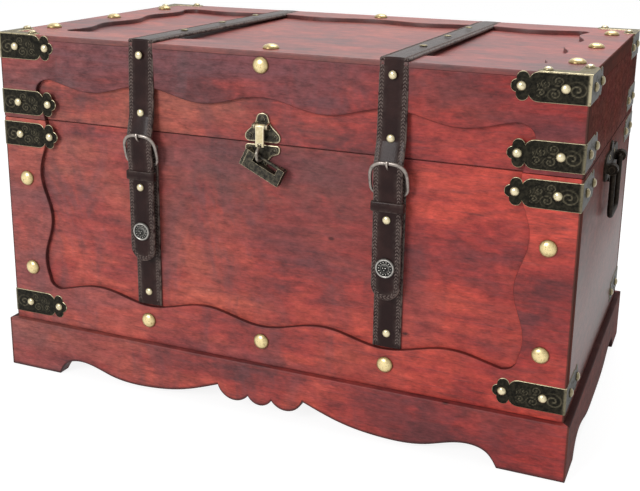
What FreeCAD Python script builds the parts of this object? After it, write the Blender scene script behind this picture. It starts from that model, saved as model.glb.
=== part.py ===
"""Treasure chest: a flat-topped wooden box on a scalloped plinth, with a hinged lid.

Millimetres, +Z up, +X to the chest's right as seen from the front, -Y the front.
The origin is on the floor under the middle of the plinth.
"""
import FreeCAD
import Part
import math
import os
from FreeCAD import Vector

# Carcass
BODY_WIDTH = 600.0
BODY_DEPTH = 355.0
LID_TOP = 370.0
SEAM_HEIGHT = 282.0
SEAM_GAP = 0.8
WALL = 9.0
OVERLAY = 5.0

# Plinth
PLINTH_HEIGHT = 56.0
PLINTH_OVERHANG = 6.0
PLINTH_THICK = 15.0
PLINTH_ROUND = 2.0
FRONT_FOOT = 63.0
SIDE_FOOT = 43.0
CUSP_HALF = 47.0
CUSP_HEIGHT = 26.0
LOBE_HALF = 13.0
LOBE_TOP = 20.0
LOBE_LOW = 12.2
CORNER_BLOCK = 38.0
BLOCK_DROP = 12.0

# Apron curve between a foot (0) and the middle (1): share of the span, height above the floor
FRONT_APRON = [(0.051, 13.5), (0.143, 18.5), (0.347, 9.0), (0.577, 6.0), (0.781, 11.5)]
SIDE_APRON = [(0.071, 13.5), (0.199, 18.5), (0.55, 9.5)]
SIDE_APRON_LOW = 6.0

# Overlay frames with wavy inner edges
BODY_RAIL = 45.0
HASP_HEADROOM = 0.5
LID_PANEL_SHARE = 0.248
TOP_RAIL = 48.0
STILE = 47.5
WAVE_RISE = 5.5
WAVE_PITCH = 128.0
STILE_PITCH = 96.0
STILE_CREST_DROP = 106.0
INNER_CORNER = 12.0

# Corner brackets
BRACKET_SHEET = 1.0
BRACKET_HEIGHT = 26.0
BRACKET_SHOULDER = 42.0
BRACKET_NECK = 51.0
BRACKET_NECK_HALF = 5.0
LEAF_CENTRE = 56.0
LEAF_SPREAD = 7.3
LEAF_RADIUS = 5.5
TIP_CENTRE = 60.3
TIP_RADIUS = 6.0
BRACKET_SEAM_GAP = 4.0
LID_BRACKET_SPACE = 32.0
BRACKET_FOOT_GAP = 7.5
BRACKET_NAILS = (21.0, 58.0)
CAP_FLANGE_LENGTH = 46.0
CAP_FLANGE_WIDTH = 14.0
CAP_FLANGE_NAIL = 37.0

# Nails, rivets and screws: head radius, head height, shank radius, shank length
BRACKET_NAIL = (4.3, 2.8, 0.9, 8.4)
DOME_NAIL = (8.0, 5.0, 1.2, 12.0)
STRAP_RIVET = (4.0, 2.6, 1.2, 11.0)
LOWER_RIVET = (4.0, 2.6, 1.2, 8.0)
SMALL_SCREW = (2.6, 1.4, 1.4, 7.0)
DOME_LOW = 61.5
DOME_STEP = 100.0
DOME_STILE_INSET = 25.0
DOME_RAIL_UP = 24.5
DOME_LID_DOWN = 13.0
DOME_TOP_INSET = 22.0
DOME_TOP_STEP = 114.0

# Leather straps
STRAP_CENTRE = 130.0
STRAP_WIDTH = 28.0
LEATHER = 3.0
STRAP_FRONT_END = 14.0
STRAP_BACK_END = 18.0
STRAP_RIVET_DOWN = 12.0
STRAP_RIVET_UP = 19.0
STRAP_TOP_RIVETS = (-92.0, -8.0, 76.0)
STRAP_BACK_RIVET = 30.0
LOWER_STRAP_GAP = 0.5
LOWER_STRAP_TOP = 14.0
LOWER_RIVET_UP = 14.0
LOWER_RIVET_DOWN = 10.0
FOLD_GAP = 0.8
FLAP_STAND_OFF = 6.5
FLAP_BEND = 2.0
FLAP_TIP = 134.0
FLAP_RIVET = 56.0
SNAP_DROP = 102.0
SNAP_CAP_RADIUS = 9.5
SNAP_CAP_HEIGHT = 4.0
SNAP_SOCKET_RADIUS = 6.5
SNAP_SOCKET_HEIGHT = 2.8
SNAP_POST_RADIUS = 2.0
SNAP_GAP = 0.3

# Buckles and keepers on the flaps
BUCKLE_WIRE = 1.7
BUCKLE_HALF = 17.0
BUCKLE_LENGTH = 30.0
BUCKLE_BAR_DROP = 32.0
BUCKLE_ROUND = 14.0
BUCKLE_FOOT_ROUND = 3.0
BUCKLE_CLEAR = 0.5
PRONG_WIRE = 1.2
PRONG_KNEE = 18.8
PRONG_HOLE_RADIUS = 3.1
KEEPER_DROP = 44.0
KEEPER_HEIGHT = 9.0
KEEPER_WALL = 1.8
KEEPER_CLEAR = 0.3

# Hasp, staple and padlock
HASP_PLATE = 2.0
HASP_LOBE = 5.5
HASP_LOBE_HALF = 13.0
HASP_LOBE_UP = 7.0
HASP_TOP_UP = 23.0
HASP_TOP_LOBE = 6.5
STAPLE_LOBE_DOWN = 6.0
STAPLE_LOW_DOWN = 17.0
STAPLE_LOW_LOBE = 5.5
STAPLE_SCREW_DROP = 2.8
PLATE_SEAM_GAP = 1.2
PIN_UP = 17.0
PIN_OUT = 4.0
PIN_RADIUS = 1.2
PIN_CLEAR = 0.05
KNUCKLE = 2.8
TONGUE_HALF = 4.8
TONGUE_THICK = 2.0
TONGUE_TIP = 4.4
TONGUE_SLOT_HALF = 2.3
TONGUE_SLOT_TOP = 1.5
EAR_GAP = 0.3
EAR_WIDTH = 2.8
STAPLE_WIRE = 1.5
STAPLE_UPPER_DOWN = 3.0
STAPLE_OPENING = 12.0
STAPLE_LEG = 7.0
LOCK_LENGTH = 44.0
LOCK_HEIGHT = 17.2
LOCK_THICK = 8.0
LOCK_BAR = 9.3
LOCK_LEFT_POST = 11.0
LOCK_RIGHT_POST = 7.0
LOCK_HANG = 16.0
LOCK_TILT = 26.0
LOCK_STAND_OFF = 2.7
LOCK_END_PLATE = 3.0
SHACKLE_RADIUS = 1.7
SHACKLE_DOWN = 1.7
SHACKLE_GRIP = 4.0
BOLT_LENGTH = 25.0
BOLT_HEIGHT = 3.5
BOLT_WIDTH = 3.6
LOCK_CLEAR = 0.15
LOCK_SLIDE_GAP = 0.3
KEYHOLE_WIDTH = 2.4
KEYHOLE_DEPTH = 6.0

# Side handles
HANDLE_PLATE = 2.0
HANDLE_HALF = 33.0
HANDLE_END = 13.0
HANDLE_FLEUR = 9.0
HANDLE_DROP = 24.0
HANDLE_SCREW = 17.0
EYE_RADIUS = 5.5
EYE_LENGTH = 9.0
EYE_OUT = 5.0
BAIL_WIRE = 2.8
BAIL_CLEAR = 0.05
BAIL_HALF = 23.5
BAIL_DROP = 51.0
BAIL_ROUND = 8.0
BAIL_ELBOW = 4.0

# Butt hinges
HINGE_BRACKET_GAP = 4.7
HINGE_LENGTH = 50.0
HINGE_LEAF = 28.0
HINGE_SHEET = 1.6
HINGE_KNUCKLE = 4.0
HINGE_PIN = 1.9
HINGE_CLEAR = 0.05
HINGE_STAND_OFF = 0.2
HINGE_KNUCKLE_GAP = 0.2
HINGE_MIDDLE = 17.6
HINGE_HEAD = 1.5
HINGE_SCREWS = (-17.0, 0.0, 17.0)
HINGE_SCREW_UP = 18.0

# Folding lid stay: pivots measured from the lid hinge's axis (forward, up)
STAY_LID_FORWARD = 116.3
STAY_LID_UP = 18.1
STAY_BODY_FORWARD = 49.4
STAY_BODY_DOWN = 43.0
STAY_LID_ARM = 66.3
STAY_OPEN_ANGLE = 100.0
STAY_SPARE = 0.6
STAY_BAR = 2.0
STAY_BAR_HALF = 5.0
STAY_GAP = 0.4
STAY_WALL_GAP = 1.4
STAY_SCREW_RADIUS = 2.4
STAY_SCREW_DEEP = 6.0
STAY_HEAD = 1.6

# Places worked out from the driving dimensions
HALF_W = BODY_WIDTH / 2
HALF_D = BODY_DEPTH / 2
FRONT = -HALF_D
BACK = HALF_D
RECESS = FRONT + OVERLAY
FRONT_INSIDE = RECESS + WALL
BACK_INSIDE = BACK - WALL
SIDE_INSIDE = HALF_W - WALL
BODY_EDGE = SEAM_HEIGHT - SEAM_GAP / 2
LID_EDGE = SEAM_HEIGHT + SEAM_GAP / 2
LID_BRACKET_HEIGHT = (LID_TOP - SEAM_HEIGHT - BRACKET_SEAM_GAP - LID_BRACKET_SPACE) / 2
TOP_OVERLAY = LID_TOP - OVERLAY
TOP_INSIDE = TOP_OVERLAY - WALL
BRACKET_SIZE = max(1.0, LID_BRACKET_HEIGHT / BRACKET_HEIGHT)
BRACKET_REACH = BRACKET_NECK + (TIP_CENTRE + TIP_RADIUS - BRACKET_NECK) * BRACKET_SIZE
HINGE_X = HALF_W + BRACKET_SHEET - BRACKET_REACH - HINGE_BRACKET_GAP - HINGE_LENGTH / 2
PLINTH_HALF_W = HALF_W + PLINTH_OVERHANG
PLINTH_HALF_D = HALF_D + PLINTH_OVERHANG
HINGE_Y = BACK + HINGE_STAND_OFF + HINGE_KNUCKLE
FOLD_Z = LID_EDGE + STRAP_FRONT_END - FOLD_GAP - LEATHER / 2
FOLD_Y = FRONT - FOLD_GAP - LEATHER / 2
LOWER_FACE = RECESS - LEATHER
FLAP_Y = LOWER_FACE - FLAP_STAND_OFF - LEATHER / 2
HASP_FACE = RECESS - HASP_PLATE
PIN_Y = HASP_FACE - PIN_OUT
PIN_Z = SEAM_HEIGHT + PIN_UP
HASP_ROOM_Z = SEAM_HEIGHT + HASP_TOP_UP + HASP_TOP_LOBE + HASP_HEADROOM - WAVE_RISE
LID_RAIL_Z = HASP_ROOM_Z + (TOP_OVERLAY - HASP_ROOM_Z) * LID_PANEL_SHARE
STAPLE_TOP_Z = SEAM_HEIGHT - STAPLE_UPPER_DOWN
STAPLE_LOW_Z = STAPLE_TOP_Z - STAPLE_OPENING
HANDLE_Z = SEAM_HEIGHT - HANDLE_DROP
HANDLE_X = HALF_W + HANDLE_PLATE + EYE_OUT
X_AXIS = Vector(1, 0, 0)
Y_AXIS = Vector(0, 1, 0)
Z_AXIS = Vector(0, 0, 1)


def box(low, high):
    """Box between two opposite corners."""
    size = [b - a for a, b in zip(low, high)]
    return Part.makeBox(size[0], size[1], size[2], Vector(*low))


def line(a, b):
    return Part.LineSegment(a, b).toShape()


def arc(a, middle, b):
    return Part.Arc(a, middle, b).toShape()


def curve(points):
    """Smooth edge through the points."""
    spline = Part.BSplineCurve()
    spline.interpolate(points)
    return spline.toShape()


def slab(edges, thickness):
    """Closed outline extruded along a vector."""
    return Part.Face(Part.Wire(edges)).extrude(thickness)


def polygon_slab(points, thickness):
    loop = Part.makePolygon(points + points[:1])
    return Part.Face(loop).extrude(thickness)


def rod(start, end, radius):
    """Round bar between two points."""
    run = end.sub(start)
    return Part.makeCylinder(radius, run.Length, start, run)


def tube(edges, radius):
    """Round wire swept along tangent edges."""
    path = Part.Wire(edges)
    first = edges[0]
    start = first.valueAt(first.FirstParameter)
    heading = first.tangentAt(first.FirstParameter)
    section = Part.Wire(Part.makeCircle(radius, start, heading))
    return path.makePipeShell([section], True, False)


def fused(shapes):
    """One solid from overlapping pieces, with their shared faces merged."""
    return shapes[0].fuse(shapes[1:]).removeSplitter()


def placed(shape, origin, u, v, n):
    """Copy of a shape drawn in local axes, set at an origin with those axes."""
    matrix = FreeCAD.Matrix(
        u.x, v.x, n.x, origin.x,
        u.y, v.y, n.y, origin.y,
        u.z, v.z, n.z, origin.z,
        0, 0, 0, 1)
    copy = shape.copy()
    copy.Placement = FreeCAD.Placement(matrix)
    return copy


class Fastener:
    """Headed nail, rivet or screw: its seat, the way its head faces and its sizes."""

    def __init__(self, seat, outward, sizes, flat=False):
        self.seat = seat
        self.outward = outward
        self.head_radius, self.head_height, self.shank_radius, self.shank_length = sizes
        self.flat = flat

    def shank(self):
        tip = self.seat.sub(self.outward * self.shank_length)
        return rod(tip, self.seat, self.shank_radius)

    def head(self):
        if self.flat:
            return rod(self.seat, self.seat.add(self.outward * self.head_height), self.head_radius)
        return dome(self.seat, self.outward, self.head_radius, self.head_height)

    def solid(self):
        return fused([self.head(), self.shank()])


def dome(seat, outward, radius, height):
    """Spherical cap on a flat seat."""
    ball = (radius ** 2 + height ** 2) / (2 * height)
    centre = seat.add(outward * (height - ball))
    base = math.degrees(math.asin((ball - height) / ball))
    return Part.makeSphere(ball, centre, outward, base, 90, 360)


def group(fasteners):
    return Part.makeCompound([f.solid() for f in fasteners])


def drilled(shape, fasteners):
    """Shape with a hole for each shank that reaches it."""
    holes = [f.shank() for f in fasteners]
    holes = [h for h in holes if h.BoundBox.intersect(shape.BoundBox)]
    return shape.cut(holes) if holes else shape


def wave(distance, pitch):
    """Height of a wavy edge above its mean, crest at zero."""
    return WAVE_RISE * math.cos(2 * math.pi * distance / pitch)


def body_rail(x):
    return PLINTH_HEIGHT + BODY_RAIL - wave(x, WAVE_PITCH)


def lid_rail(x):
    return LID_RAIL_Z + wave(x, WAVE_PITCH)


def front_stile(z):
    return HALF_W - STILE - wave(z - SEAM_HEIGHT + STILE_CREST_DROP, STILE_PITCH)


def top_rail(x):
    return HALF_D - TOP_RAIL + wave(x, WAVE_PITCH)


def top_stile(y):
    return HALF_W - STILE - wave(y, STILE_PITCH)


def wavy_opening(stile, low, high, lift):
    """Outline with wavy sides and rounded corners; a plain number is a straight, open edge."""

    def corner(side, edge, inward):
        if not callable(edge):
            point = (side * stile(edge), edge)
            return point, point
        rail_x = HALF_W - STILE - INNER_CORNER
        rail = (side * rail_x, edge(rail_x))
        height = rail[1] + inward * INNER_CORNER
        return (side * stile(height), height), rail

    def waved(start, end, point):
        steps = max(2, math.ceil(abs(end - start) / (WAVE_PITCH / 8)))
        return curve([lift(*point(start + (end - start) * i / steps)) for i in range(steps + 1)])

    def rail_edge(edge, start, end):
        if not callable(edge):
            return line(lift(start[0], edge), lift(end[0], edge))
        return waved(start[0], end[0], lambda x: (x, edge(x)))

    def joint(a, b, stile_end, rail_end):
        if stile_end == rail_end:
            return []
        keep = math.sqrt(2) * (math.sqrt(2) - 1)
        square = (stile_end[0], rail_end[1])
        middle = [s + ((p + q) / 2 - s) * keep for s, p, q in zip(square, a, b)]
        return [arc(lift(*a), lift(*middle), lift(*b))]

    low_left = corner(-1, low, 1)
    low_right = corner(1, low, 1)
    high_right = corner(1, high, -1)
    high_left = corner(-1, high, -1)
    edges = [rail_edge(low, low_left[1], low_right[1])]
    edges += joint(low_right[1], low_right[0], *low_right)
    edges.append(waved(low_right[0][1], high_right[0][1], lambda z: (stile(z), z)))
    edges += joint(high_right[0], high_right[1], *high_right)
    edges.append(rail_edge(high, high_right[1], high_left[1]))
    edges += joint(high_left[1], high_left[0], *high_left)
    edges.append(waved(high_left[0][1], low_left[0][1], lambda z: (-stile(z), z)))
    edges += joint(low_left[0], low_left[1], *low_left)
    return edges


def front_lift(x, z):
    return Vector(x, FRONT, z)


def top_lift(x, y):
    return Vector(x, y, TOP_OVERLAY)


def mirrored_curve(half_points, lift):
    """Smooth edge through points given for one half, mirrored about the middle."""
    full = half_points + [(-a, b) for a, b in reversed(half_points) if a != 0]
    return curve([lift(a, b) for a, b in full])


def front_apron(half):
    """Edges of the front board's outline: feet, long dips and three small lobes."""
    foot = half - FRONT_FOOT

    def at(x, z):
        return Vector(x, 0, z)

    def dip(side):
        points = [(foot, 0.0)]
        points += [(foot - share * (foot - CUSP_HALF), z) for share, z in FRONT_APRON]
        points.append((CUSP_HALF, CUSP_HEIGHT))
        return curve([at(side * x, z) for x, z in points])

    lobe_middle = (CUSP_HALF + LOBE_HALF) / 2
    edges = [line(at(-half, 0), at(-foot, 0)), dip(-1)]
    edges.append(arc(at(-CUSP_HALF, CUSP_HEIGHT), at(-lobe_middle, LOBE_LOW), at(-LOBE_HALF, LOBE_TOP)))
    edges.append(arc(at(-LOBE_HALF, LOBE_TOP), at(0, LOBE_LOW), at(LOBE_HALF, LOBE_TOP)))
    edges.append(arc(at(LOBE_HALF, LOBE_TOP), at(lobe_middle, LOBE_LOW), at(CUSP_HALF, CUSP_HEIGHT)))
    edges += [dip(1), line(at(foot, 0), at(half, 0))]
    edges += apron_top(half, at)
    return edges


def side_apron(half):
    """Edges of a side board's outline: two feet and one long dip."""
    foot = half - SIDE_FOOT

    def at(x, z):
        return Vector(x, 0, z)

    points = [(-foot, 0.0)]
    points += [(-foot * (1 - share), z) for share, z in SIDE_APRON]
    points.append((0.0, SIDE_APRON_LOW))
    edges = [line(at(-half, 0), at(-foot, 0)), mirrored_curve(points, at)]
    edges.append(line(at(foot, 0), at(half, 0)))
    edges += apron_top(half, at)
    return edges


def apron_top(half, at):
    edges = [line(at(half, 0), at(half, PLINTH_HEIGHT))]
    edges.append(line(at(half, PLINTH_HEIGHT), at(-half, PLINTH_HEIGHT)))
    edges.append(line(at(-half, PLINTH_HEIGHT), at(-half, 0)))
    return edges


def plinth_board(edges, half, out):
    """Mitred board drawn along X with its outer face on y = -out, its top edge rounded."""
    board = slab(edges, Vector(0, PLINTH_THICK, 0))
    board.translate(Vector(0, -out, 0))
    inner = half - PLINTH_THICK
    plan = [(-half, -out), (half, -out), (inner, PLINTH_THICK - out), (-inner, PLINTH_THICK - out)]
    mitre = polygon_slab([Vector(x, y, 0) for x, y in plan], Vector(0, 0, PLINTH_HEIGHT))
    board = board.common(mitre)
    top = [e for e in board.Edges
           if abs(e.BoundBox.ZMin - PLINTH_HEIGHT) < 0.01 and abs(e.BoundBox.YMax + out) < 0.01]
    return board.makeFillet(PLINTH_ROUND, top)


def plinth():
    front = plinth_board(front_apron(PLINTH_HALF_W), PLINTH_HALF_W, PLINTH_HALF_D)
    side = plinth_board(side_apron(PLINTH_HALF_D), PLINTH_HALF_D, PLINTH_HALF_W)
    floor = Vector(0, 0, 0)
    boards = {"plinth_front": front, "plinth_back": front.copy()}
    boards["plinth_back"].rotate(floor, Z_AXIS, 180)
    for name, angle in (("plinth_right", 90), ("plinth_left", -90)):
        boards[name] = side.copy()
        boards[name].rotate(floor, Z_AXIS, angle)
    blocks = []
    inner_x = PLINTH_HALF_W - PLINTH_THICK
    inner_y = PLINTH_HALF_D - PLINTH_THICK
    for sx in (-1, 1):
        for sy in (-1, 1):
            corners = [(sx * inner_x, sy * inner_y), (sx * (inner_x - CORNER_BLOCK), sy * inner_y),
                       (sx * inner_x, sy * (inner_y - CORNER_BLOCK))]
            points = [Vector(x, y, BLOCK_DROP) for x, y in corners]
            blocks.append(polygon_slab(points, Vector(0, 0, PLINTH_HEIGHT - BLOCK_DROP)))
    boards["plinth_corner_blocks"] = Part.makeCompound(blocks)
    return boards


def body_boards():
    low = PLINTH_HEIGHT
    outline = wavy_opening(front_stile, body_rail, SEAM_HEIGHT, front_lift)
    overlay = box((-HALF_W, FRONT, low), (HALF_W, RECESS, BODY_EDGE))
    return {
        "body_front_panel": box((-HALF_W, RECESS, low), (HALF_W, FRONT_INSIDE, BODY_EDGE)),
        "body_back_panel": box((-HALF_W, BACK_INSIDE, low), (HALF_W, BACK, BODY_EDGE)),
        "body_left_panel": box((-HALF_W, FRONT_INSIDE, low), (-SIDE_INSIDE, BACK_INSIDE, BODY_EDGE)),
        "body_right_panel": box((SIDE_INSIDE, FRONT_INSIDE, low), (HALF_W, BACK_INSIDE, BODY_EDGE)),
        "body_bottom_panel": box((-SIDE_INSIDE, FRONT_INSIDE, low), (SIDE_INSIDE, BACK_INSIDE, low + WALL)),
        "body_front_overlay": overlay.cut(slab(outline, Vector(0, OVERLAY, 0))),
    }


def lid_boards():
    front_outline = wavy_opening(front_stile, SEAM_HEIGHT, lid_rail, front_lift)
    front = box((-HALF_W, FRONT, LID_EDGE), (HALF_W, RECESS, TOP_OVERLAY))
    top_outline = wavy_opening(top_stile, lambda x: -top_rail(x), top_rail, top_lift)
    top = box((-HALF_W, FRONT, TOP_OVERLAY), (HALF_W, BACK, LID_TOP))
    return {
        "lid_top_panel": box((-HALF_W, RECESS, TOP_INSIDE), (HALF_W, BACK, TOP_OVERLAY)),
        "lid_front_panel": box((-HALF_W, RECESS, LID_EDGE), (HALF_W, FRONT_INSIDE, TOP_INSIDE)),
        "lid_back_panel": box((-HALF_W, BACK_INSIDE, LID_EDGE), (HALF_W, BACK, TOP_INSIDE)),
        "lid_left_panel": box((-HALF_W, FRONT_INSIDE, LID_EDGE), (-SIDE_INSIDE, BACK_INSIDE, TOP_INSIDE)),
        "lid_right_panel": box((SIDE_INSIDE, FRONT_INSIDE, LID_EDGE), (HALF_W, BACK_INSIDE, TOP_INSIDE)),
        "lid_front_overlay": front.cut(slab(front_outline, Vector(0, OVERLAY, 0))),
        "lid_top_overlay": top.cut(slab(top_outline, Vector(0, 0, OVERLAY))),
    }


def bracket_leg(height):
    """Strap of sheet metal along local X that ends in a three-lobed leaf, sized to the strap's height."""
    half = height / 2
    size = height / BRACKET_HEIGHT
    neck = BRACKET_NECK_HALF * size
    bulge = ((BRACKET_SHOULDER + BRACKET_NECK * 3) / 4, (half * 3 + neck) / 4)

    def at(u, v):
        return Vector(u, v, 0)

    edges = [line(at(0, half), at(0, -half)), line(at(0, -half), at(BRACKET_SHOULDER, -half))]
    edges.append(arc(at(BRACKET_SHOULDER, -half), at(bulge[0], -bulge[1]), at(BRACKET_NECK, -neck)))
    edges.append(line(at(BRACKET_NECK, -neck), at(BRACKET_NECK, neck)))
    edges.append(arc(at(BRACKET_NECK, neck), at(*bulge), at(BRACKET_SHOULDER, half)))
    edges.append(line(at(BRACKET_SHOULDER, half), at(0, half)))
    pieces = [slab(edges, Z_AXIS * BRACKET_SHEET)]
    lobes = [(TIP_CENTRE, 0, TIP_RADIUS), (LEAF_CENTRE, 0, TIP_RADIUS)]
    lobes += [(LEAF_CENTRE, side * LEAF_SPREAD, LEAF_RADIUS) for side in (-1, 1)]
    for u, v, radius in lobes:
        centre = at(BRACKET_NECK + (u - BRACKET_NECK) * size, v * size)
        pieces.append(Part.makeCylinder(radius * size, BRACKET_SHEET, centre))
    return fused(pieces)


def corner_faces(sx, sy):
    """The front or back face and the side face at a corner: origin offset, outward way, way inward."""
    ends = (Vector(sx * (HALF_W + BRACKET_SHEET), sy * HALF_D, 0), Vector(0, sy, 0), Vector(-sx, 0, 0))
    side = (Vector(sx * HALF_W, sy * HALF_D, 0), Vector(sx, 0, 0), Vector(0, -sy, 0))
    return ends, side


def brackets(middle, height, capped=False):
    """Brackets round the four vertical corners, centred at one level, and their nails."""
    leg = bracket_leg(height)
    leaf_nail = BRACKET_NECK + (BRACKET_NAILS[1] - BRACKET_NECK) * height / BRACKET_HEIGHT
    solids = []
    nails = []
    up = Z_AXIS * middle
    for sx in (-1, 1):
        for sy in (-1, 1):
            legs = []
            for origin, outward, inward in corner_faces(sx, sy):
                legs.append(placed(leg, origin.add(up), inward, outward.cross(inward), outward))
                for along in (BRACKET_NAILS[0], leaf_nail):
                    seat = origin.add(up).add(inward * along).add(outward * BRACKET_SHEET)
                    nails.append(Fastener(seat, outward, BRACKET_NAIL))
            if capped:
                legs.append(cap_flange(sx, sy))
                nails += cap_nails(sx, sy)
            solids.append(fused(legs))
    return [drilled(s, nails) for s in solids], nails


def cap_flange(sx, sy):
    """Two narrow arms on top of the lid, along the front or back edge and the side edge."""
    x = sx * (HALF_W + BRACKET_SHEET)
    y = sy * (HALF_D + BRACKET_SHEET)
    long_x, long_y = x - sx * CAP_FLANGE_LENGTH, y - sy * CAP_FLANGE_LENGTH
    wide_x, wide_y = x - sx * CAP_FLANGE_WIDTH, y - sy * CAP_FLANGE_WIDTH
    plan = [(x, y), (long_x, y), (long_x, wide_y), (wide_x, wide_y), (wide_x, long_y), (x, long_y)]
    return polygon_slab([Vector(a, b, LID_TOP) for a, b in plan], Z_AXIS * BRACKET_SHEET)


def cap_nails(sx, sy):
    top = LID_TOP + BRACKET_SHEET
    inset = CAP_FLANGE_WIDTH / 2
    seats = [(HALF_W - CAP_FLANGE_NAIL, HALF_D - inset), (HALF_W - inset, HALF_D - CAP_FLANGE_NAIL)]
    return [Fastener(Vector(sx * x, sy * y, top), Z_AXIS, BRACKET_NAIL) for x, y in seats]


def body_domes():
    outward = -Y_AXIS
    seats = []
    for side in (-1, 1):
        for step in (0, 1):
            height = PLINTH_HEIGHT + DOME_LOW + step * DOME_STEP
            seats.append((side * (HALF_W - DOME_STILE_INSET), height))
    seats += [(x, PLINTH_HEIGHT + DOME_RAIL_UP) for x in (-STRAP_CENTRE, 0, STRAP_CENTRE)]
    return [Fastener(Vector(x, FRONT, z), outward, DOME_NAIL) for x, z in seats]


def lid_domes():
    nails = [Fastener(Vector(0, FRONT, LID_TOP - DOME_LID_DOWN), -Y_AXIS, DOME_NAIL)]
    seats = [(side * (HALF_W - DOME_TOP_INSET), step * DOME_TOP_STEP) for side in (-1, 1) for step in (-1, 0, 1)]
    seats += [(0, side * (HALF_D - DOME_TOP_INSET)) for side in (-1, 1)]
    return nails + [Fastener(Vector(x, y, LID_TOP), Z_AXIS, DOME_NAIL) for x, y in seats]


def lid_strap(x, rivets):
    """Leather band over the lid: up the back, along the top and down the front."""
    back_end = LID_EDGE + STRAP_BACK_END
    front_end = LID_EDGE + STRAP_FRONT_END
    half = LEATHER * math.sqrt(0.5)

    def at(y, z):
        return Vector(x - STRAP_WIDTH / 2, y, z)

    inner = [at(BACK, back_end), at(BACK, LID_TOP), at(FRONT, LID_TOP), at(FRONT, front_end)]
    edges = [line(a, b) for a, b in zip(inner, inner[1:])]
    edges.append(line(inner[3], at(FRONT - LEATHER, front_end)))
    edges.append(line(at(FRONT - LEATHER, front_end), at(FRONT - LEATHER, LID_TOP)))
    edges.append(arc(at(FRONT - LEATHER, LID_TOP), at(FRONT - half, LID_TOP + half), at(FRONT, LID_TOP + LEATHER)))
    edges.append(line(at(FRONT, LID_TOP + LEATHER), at(BACK, LID_TOP + LEATHER)))
    edges.append(arc(at(BACK, LID_TOP + LEATHER), at(BACK + half, LID_TOP + half), at(BACK + LEATHER, LID_TOP)))
    edges.append(line(at(BACK + LEATHER, LID_TOP), at(BACK + LEATHER, back_end)))
    edges.append(line(at(BACK + LEATHER, back_end), inner[0]))
    return drilled(slab(edges, X_AXIS * STRAP_WIDTH), rivets)


def lid_strap_rivets(x):
    heights = (LID_TOP - STRAP_RIVET_DOWN, SEAM_HEIGHT + STRAP_RIVET_UP)
    front = [Fastener(Vector(x, FRONT - LEATHER, z), -Y_AXIS, STRAP_RIVET) for z in heights]
    top = [Fastener(Vector(x, y, LID_TOP + LEATHER), Z_AXIS, STRAP_RIVET) for y in STRAP_TOP_RIVETS]
    back = Fastener(Vector(x, BACK + LEATHER, SEAM_HEIGHT + STRAP_BACK_RIVET), Y_AXIS, LOWER_RIVET)
    return front + top + [back]


def lower_strap(x):
    """Leather band on the recessed front, from the bottom rail's wave to just under the seam."""
    half = STRAP_WIDTH / 2
    edge = max(body_rail(x - half), body_rail(x), body_rail(x + half))
    low = edge + LOWER_STRAP_GAP
    high = SEAM_HEIGHT - LOWER_STRAP_TOP
    band = box((x - half, LOWER_FACE, low), (x + half, RECESS, high))
    heights = (low + LOWER_RIVET_UP, high - LOWER_RIVET_DOWN)
    rivets = [Fastener(Vector(x, LOWER_FACE, z), -Y_AXIS, LOWER_RIVET) for z in heights]
    stud_height = FLAP_STAND_OFF - SNAP_SOCKET_HEIGHT - SNAP_GAP
    sizes = (SNAP_SOCKET_RADIUS, stud_height, SNAP_POST_RADIUS, LEATHER + WALL / 2)
    stud = Fastener(Vector(x, LOWER_FACE, SEAM_HEIGHT - SNAP_DROP), -Y_AXIS, sizes, flat=True)
    return drilled(band, rivets + [stud]), rivets, stud


def flap_leather(x):
    """Flap that hangs from the fold line, bends clear of the front and ends in a round tip."""
    half = LEATHER / 2
    bend = (FLAP_Y, SEAM_HEIGHT - FLAP_BEND)
    run = (bend[0] - FOLD_Y, bend[1] - FOLD_Z)
    length = math.hypot(*run)
    normal = (run[1] / length * half, -run[0] / length * half)
    share = half / (half + abs(normal[0]))
    mitre = ((normal[0] - half) * share, normal[1] * share)
    tip = SEAM_HEIGHT - FLAP_TIP
    radius = STRAP_WIDTH / 2

    def at(y, z):
        return Vector(x - radius, y, z)

    outer_top = at(FOLD_Y + normal[0], FOLD_Z + normal[1])
    inner_top = at(FOLD_Y - normal[0], FOLD_Z - normal[1])
    crown = at(FOLD_Y - run[0] / length * half, FOLD_Z - run[1] / length * half)
    outer_bend = at(bend[0] + mitre[0], bend[1] + mitre[1])
    inner_bend = at(bend[0] - mitre[0], bend[1] - mitre[1])
    edges = [arc(inner_top, crown, outer_top), line(outer_top, outer_bend)]
    edges.append(line(outer_bend, at(FLAP_Y - half, tip)))
    edges.append(line(at(FLAP_Y - half, tip), at(FLAP_Y + half, tip)))
    edges += [line(at(FLAP_Y + half, tip), inner_bend), line(inner_bend, inner_top)]
    band = slab(edges, X_AXIS * STRAP_WIDTH)
    depth = FOLD_Y - FLAP_Y + 2 * LEATHER
    near = Vector(0, FLAP_Y - LEATHER, 0)
    shape = box((x - radius, near.y, tip + radius), (x + radius, near.y + depth, FOLD_Z + LEATHER))
    shape = fused([shape, Part.makeCylinder(radius, depth, Vector(x, near.y, tip + radius), Y_AXIS)])
    return band.common(shape)


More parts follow.
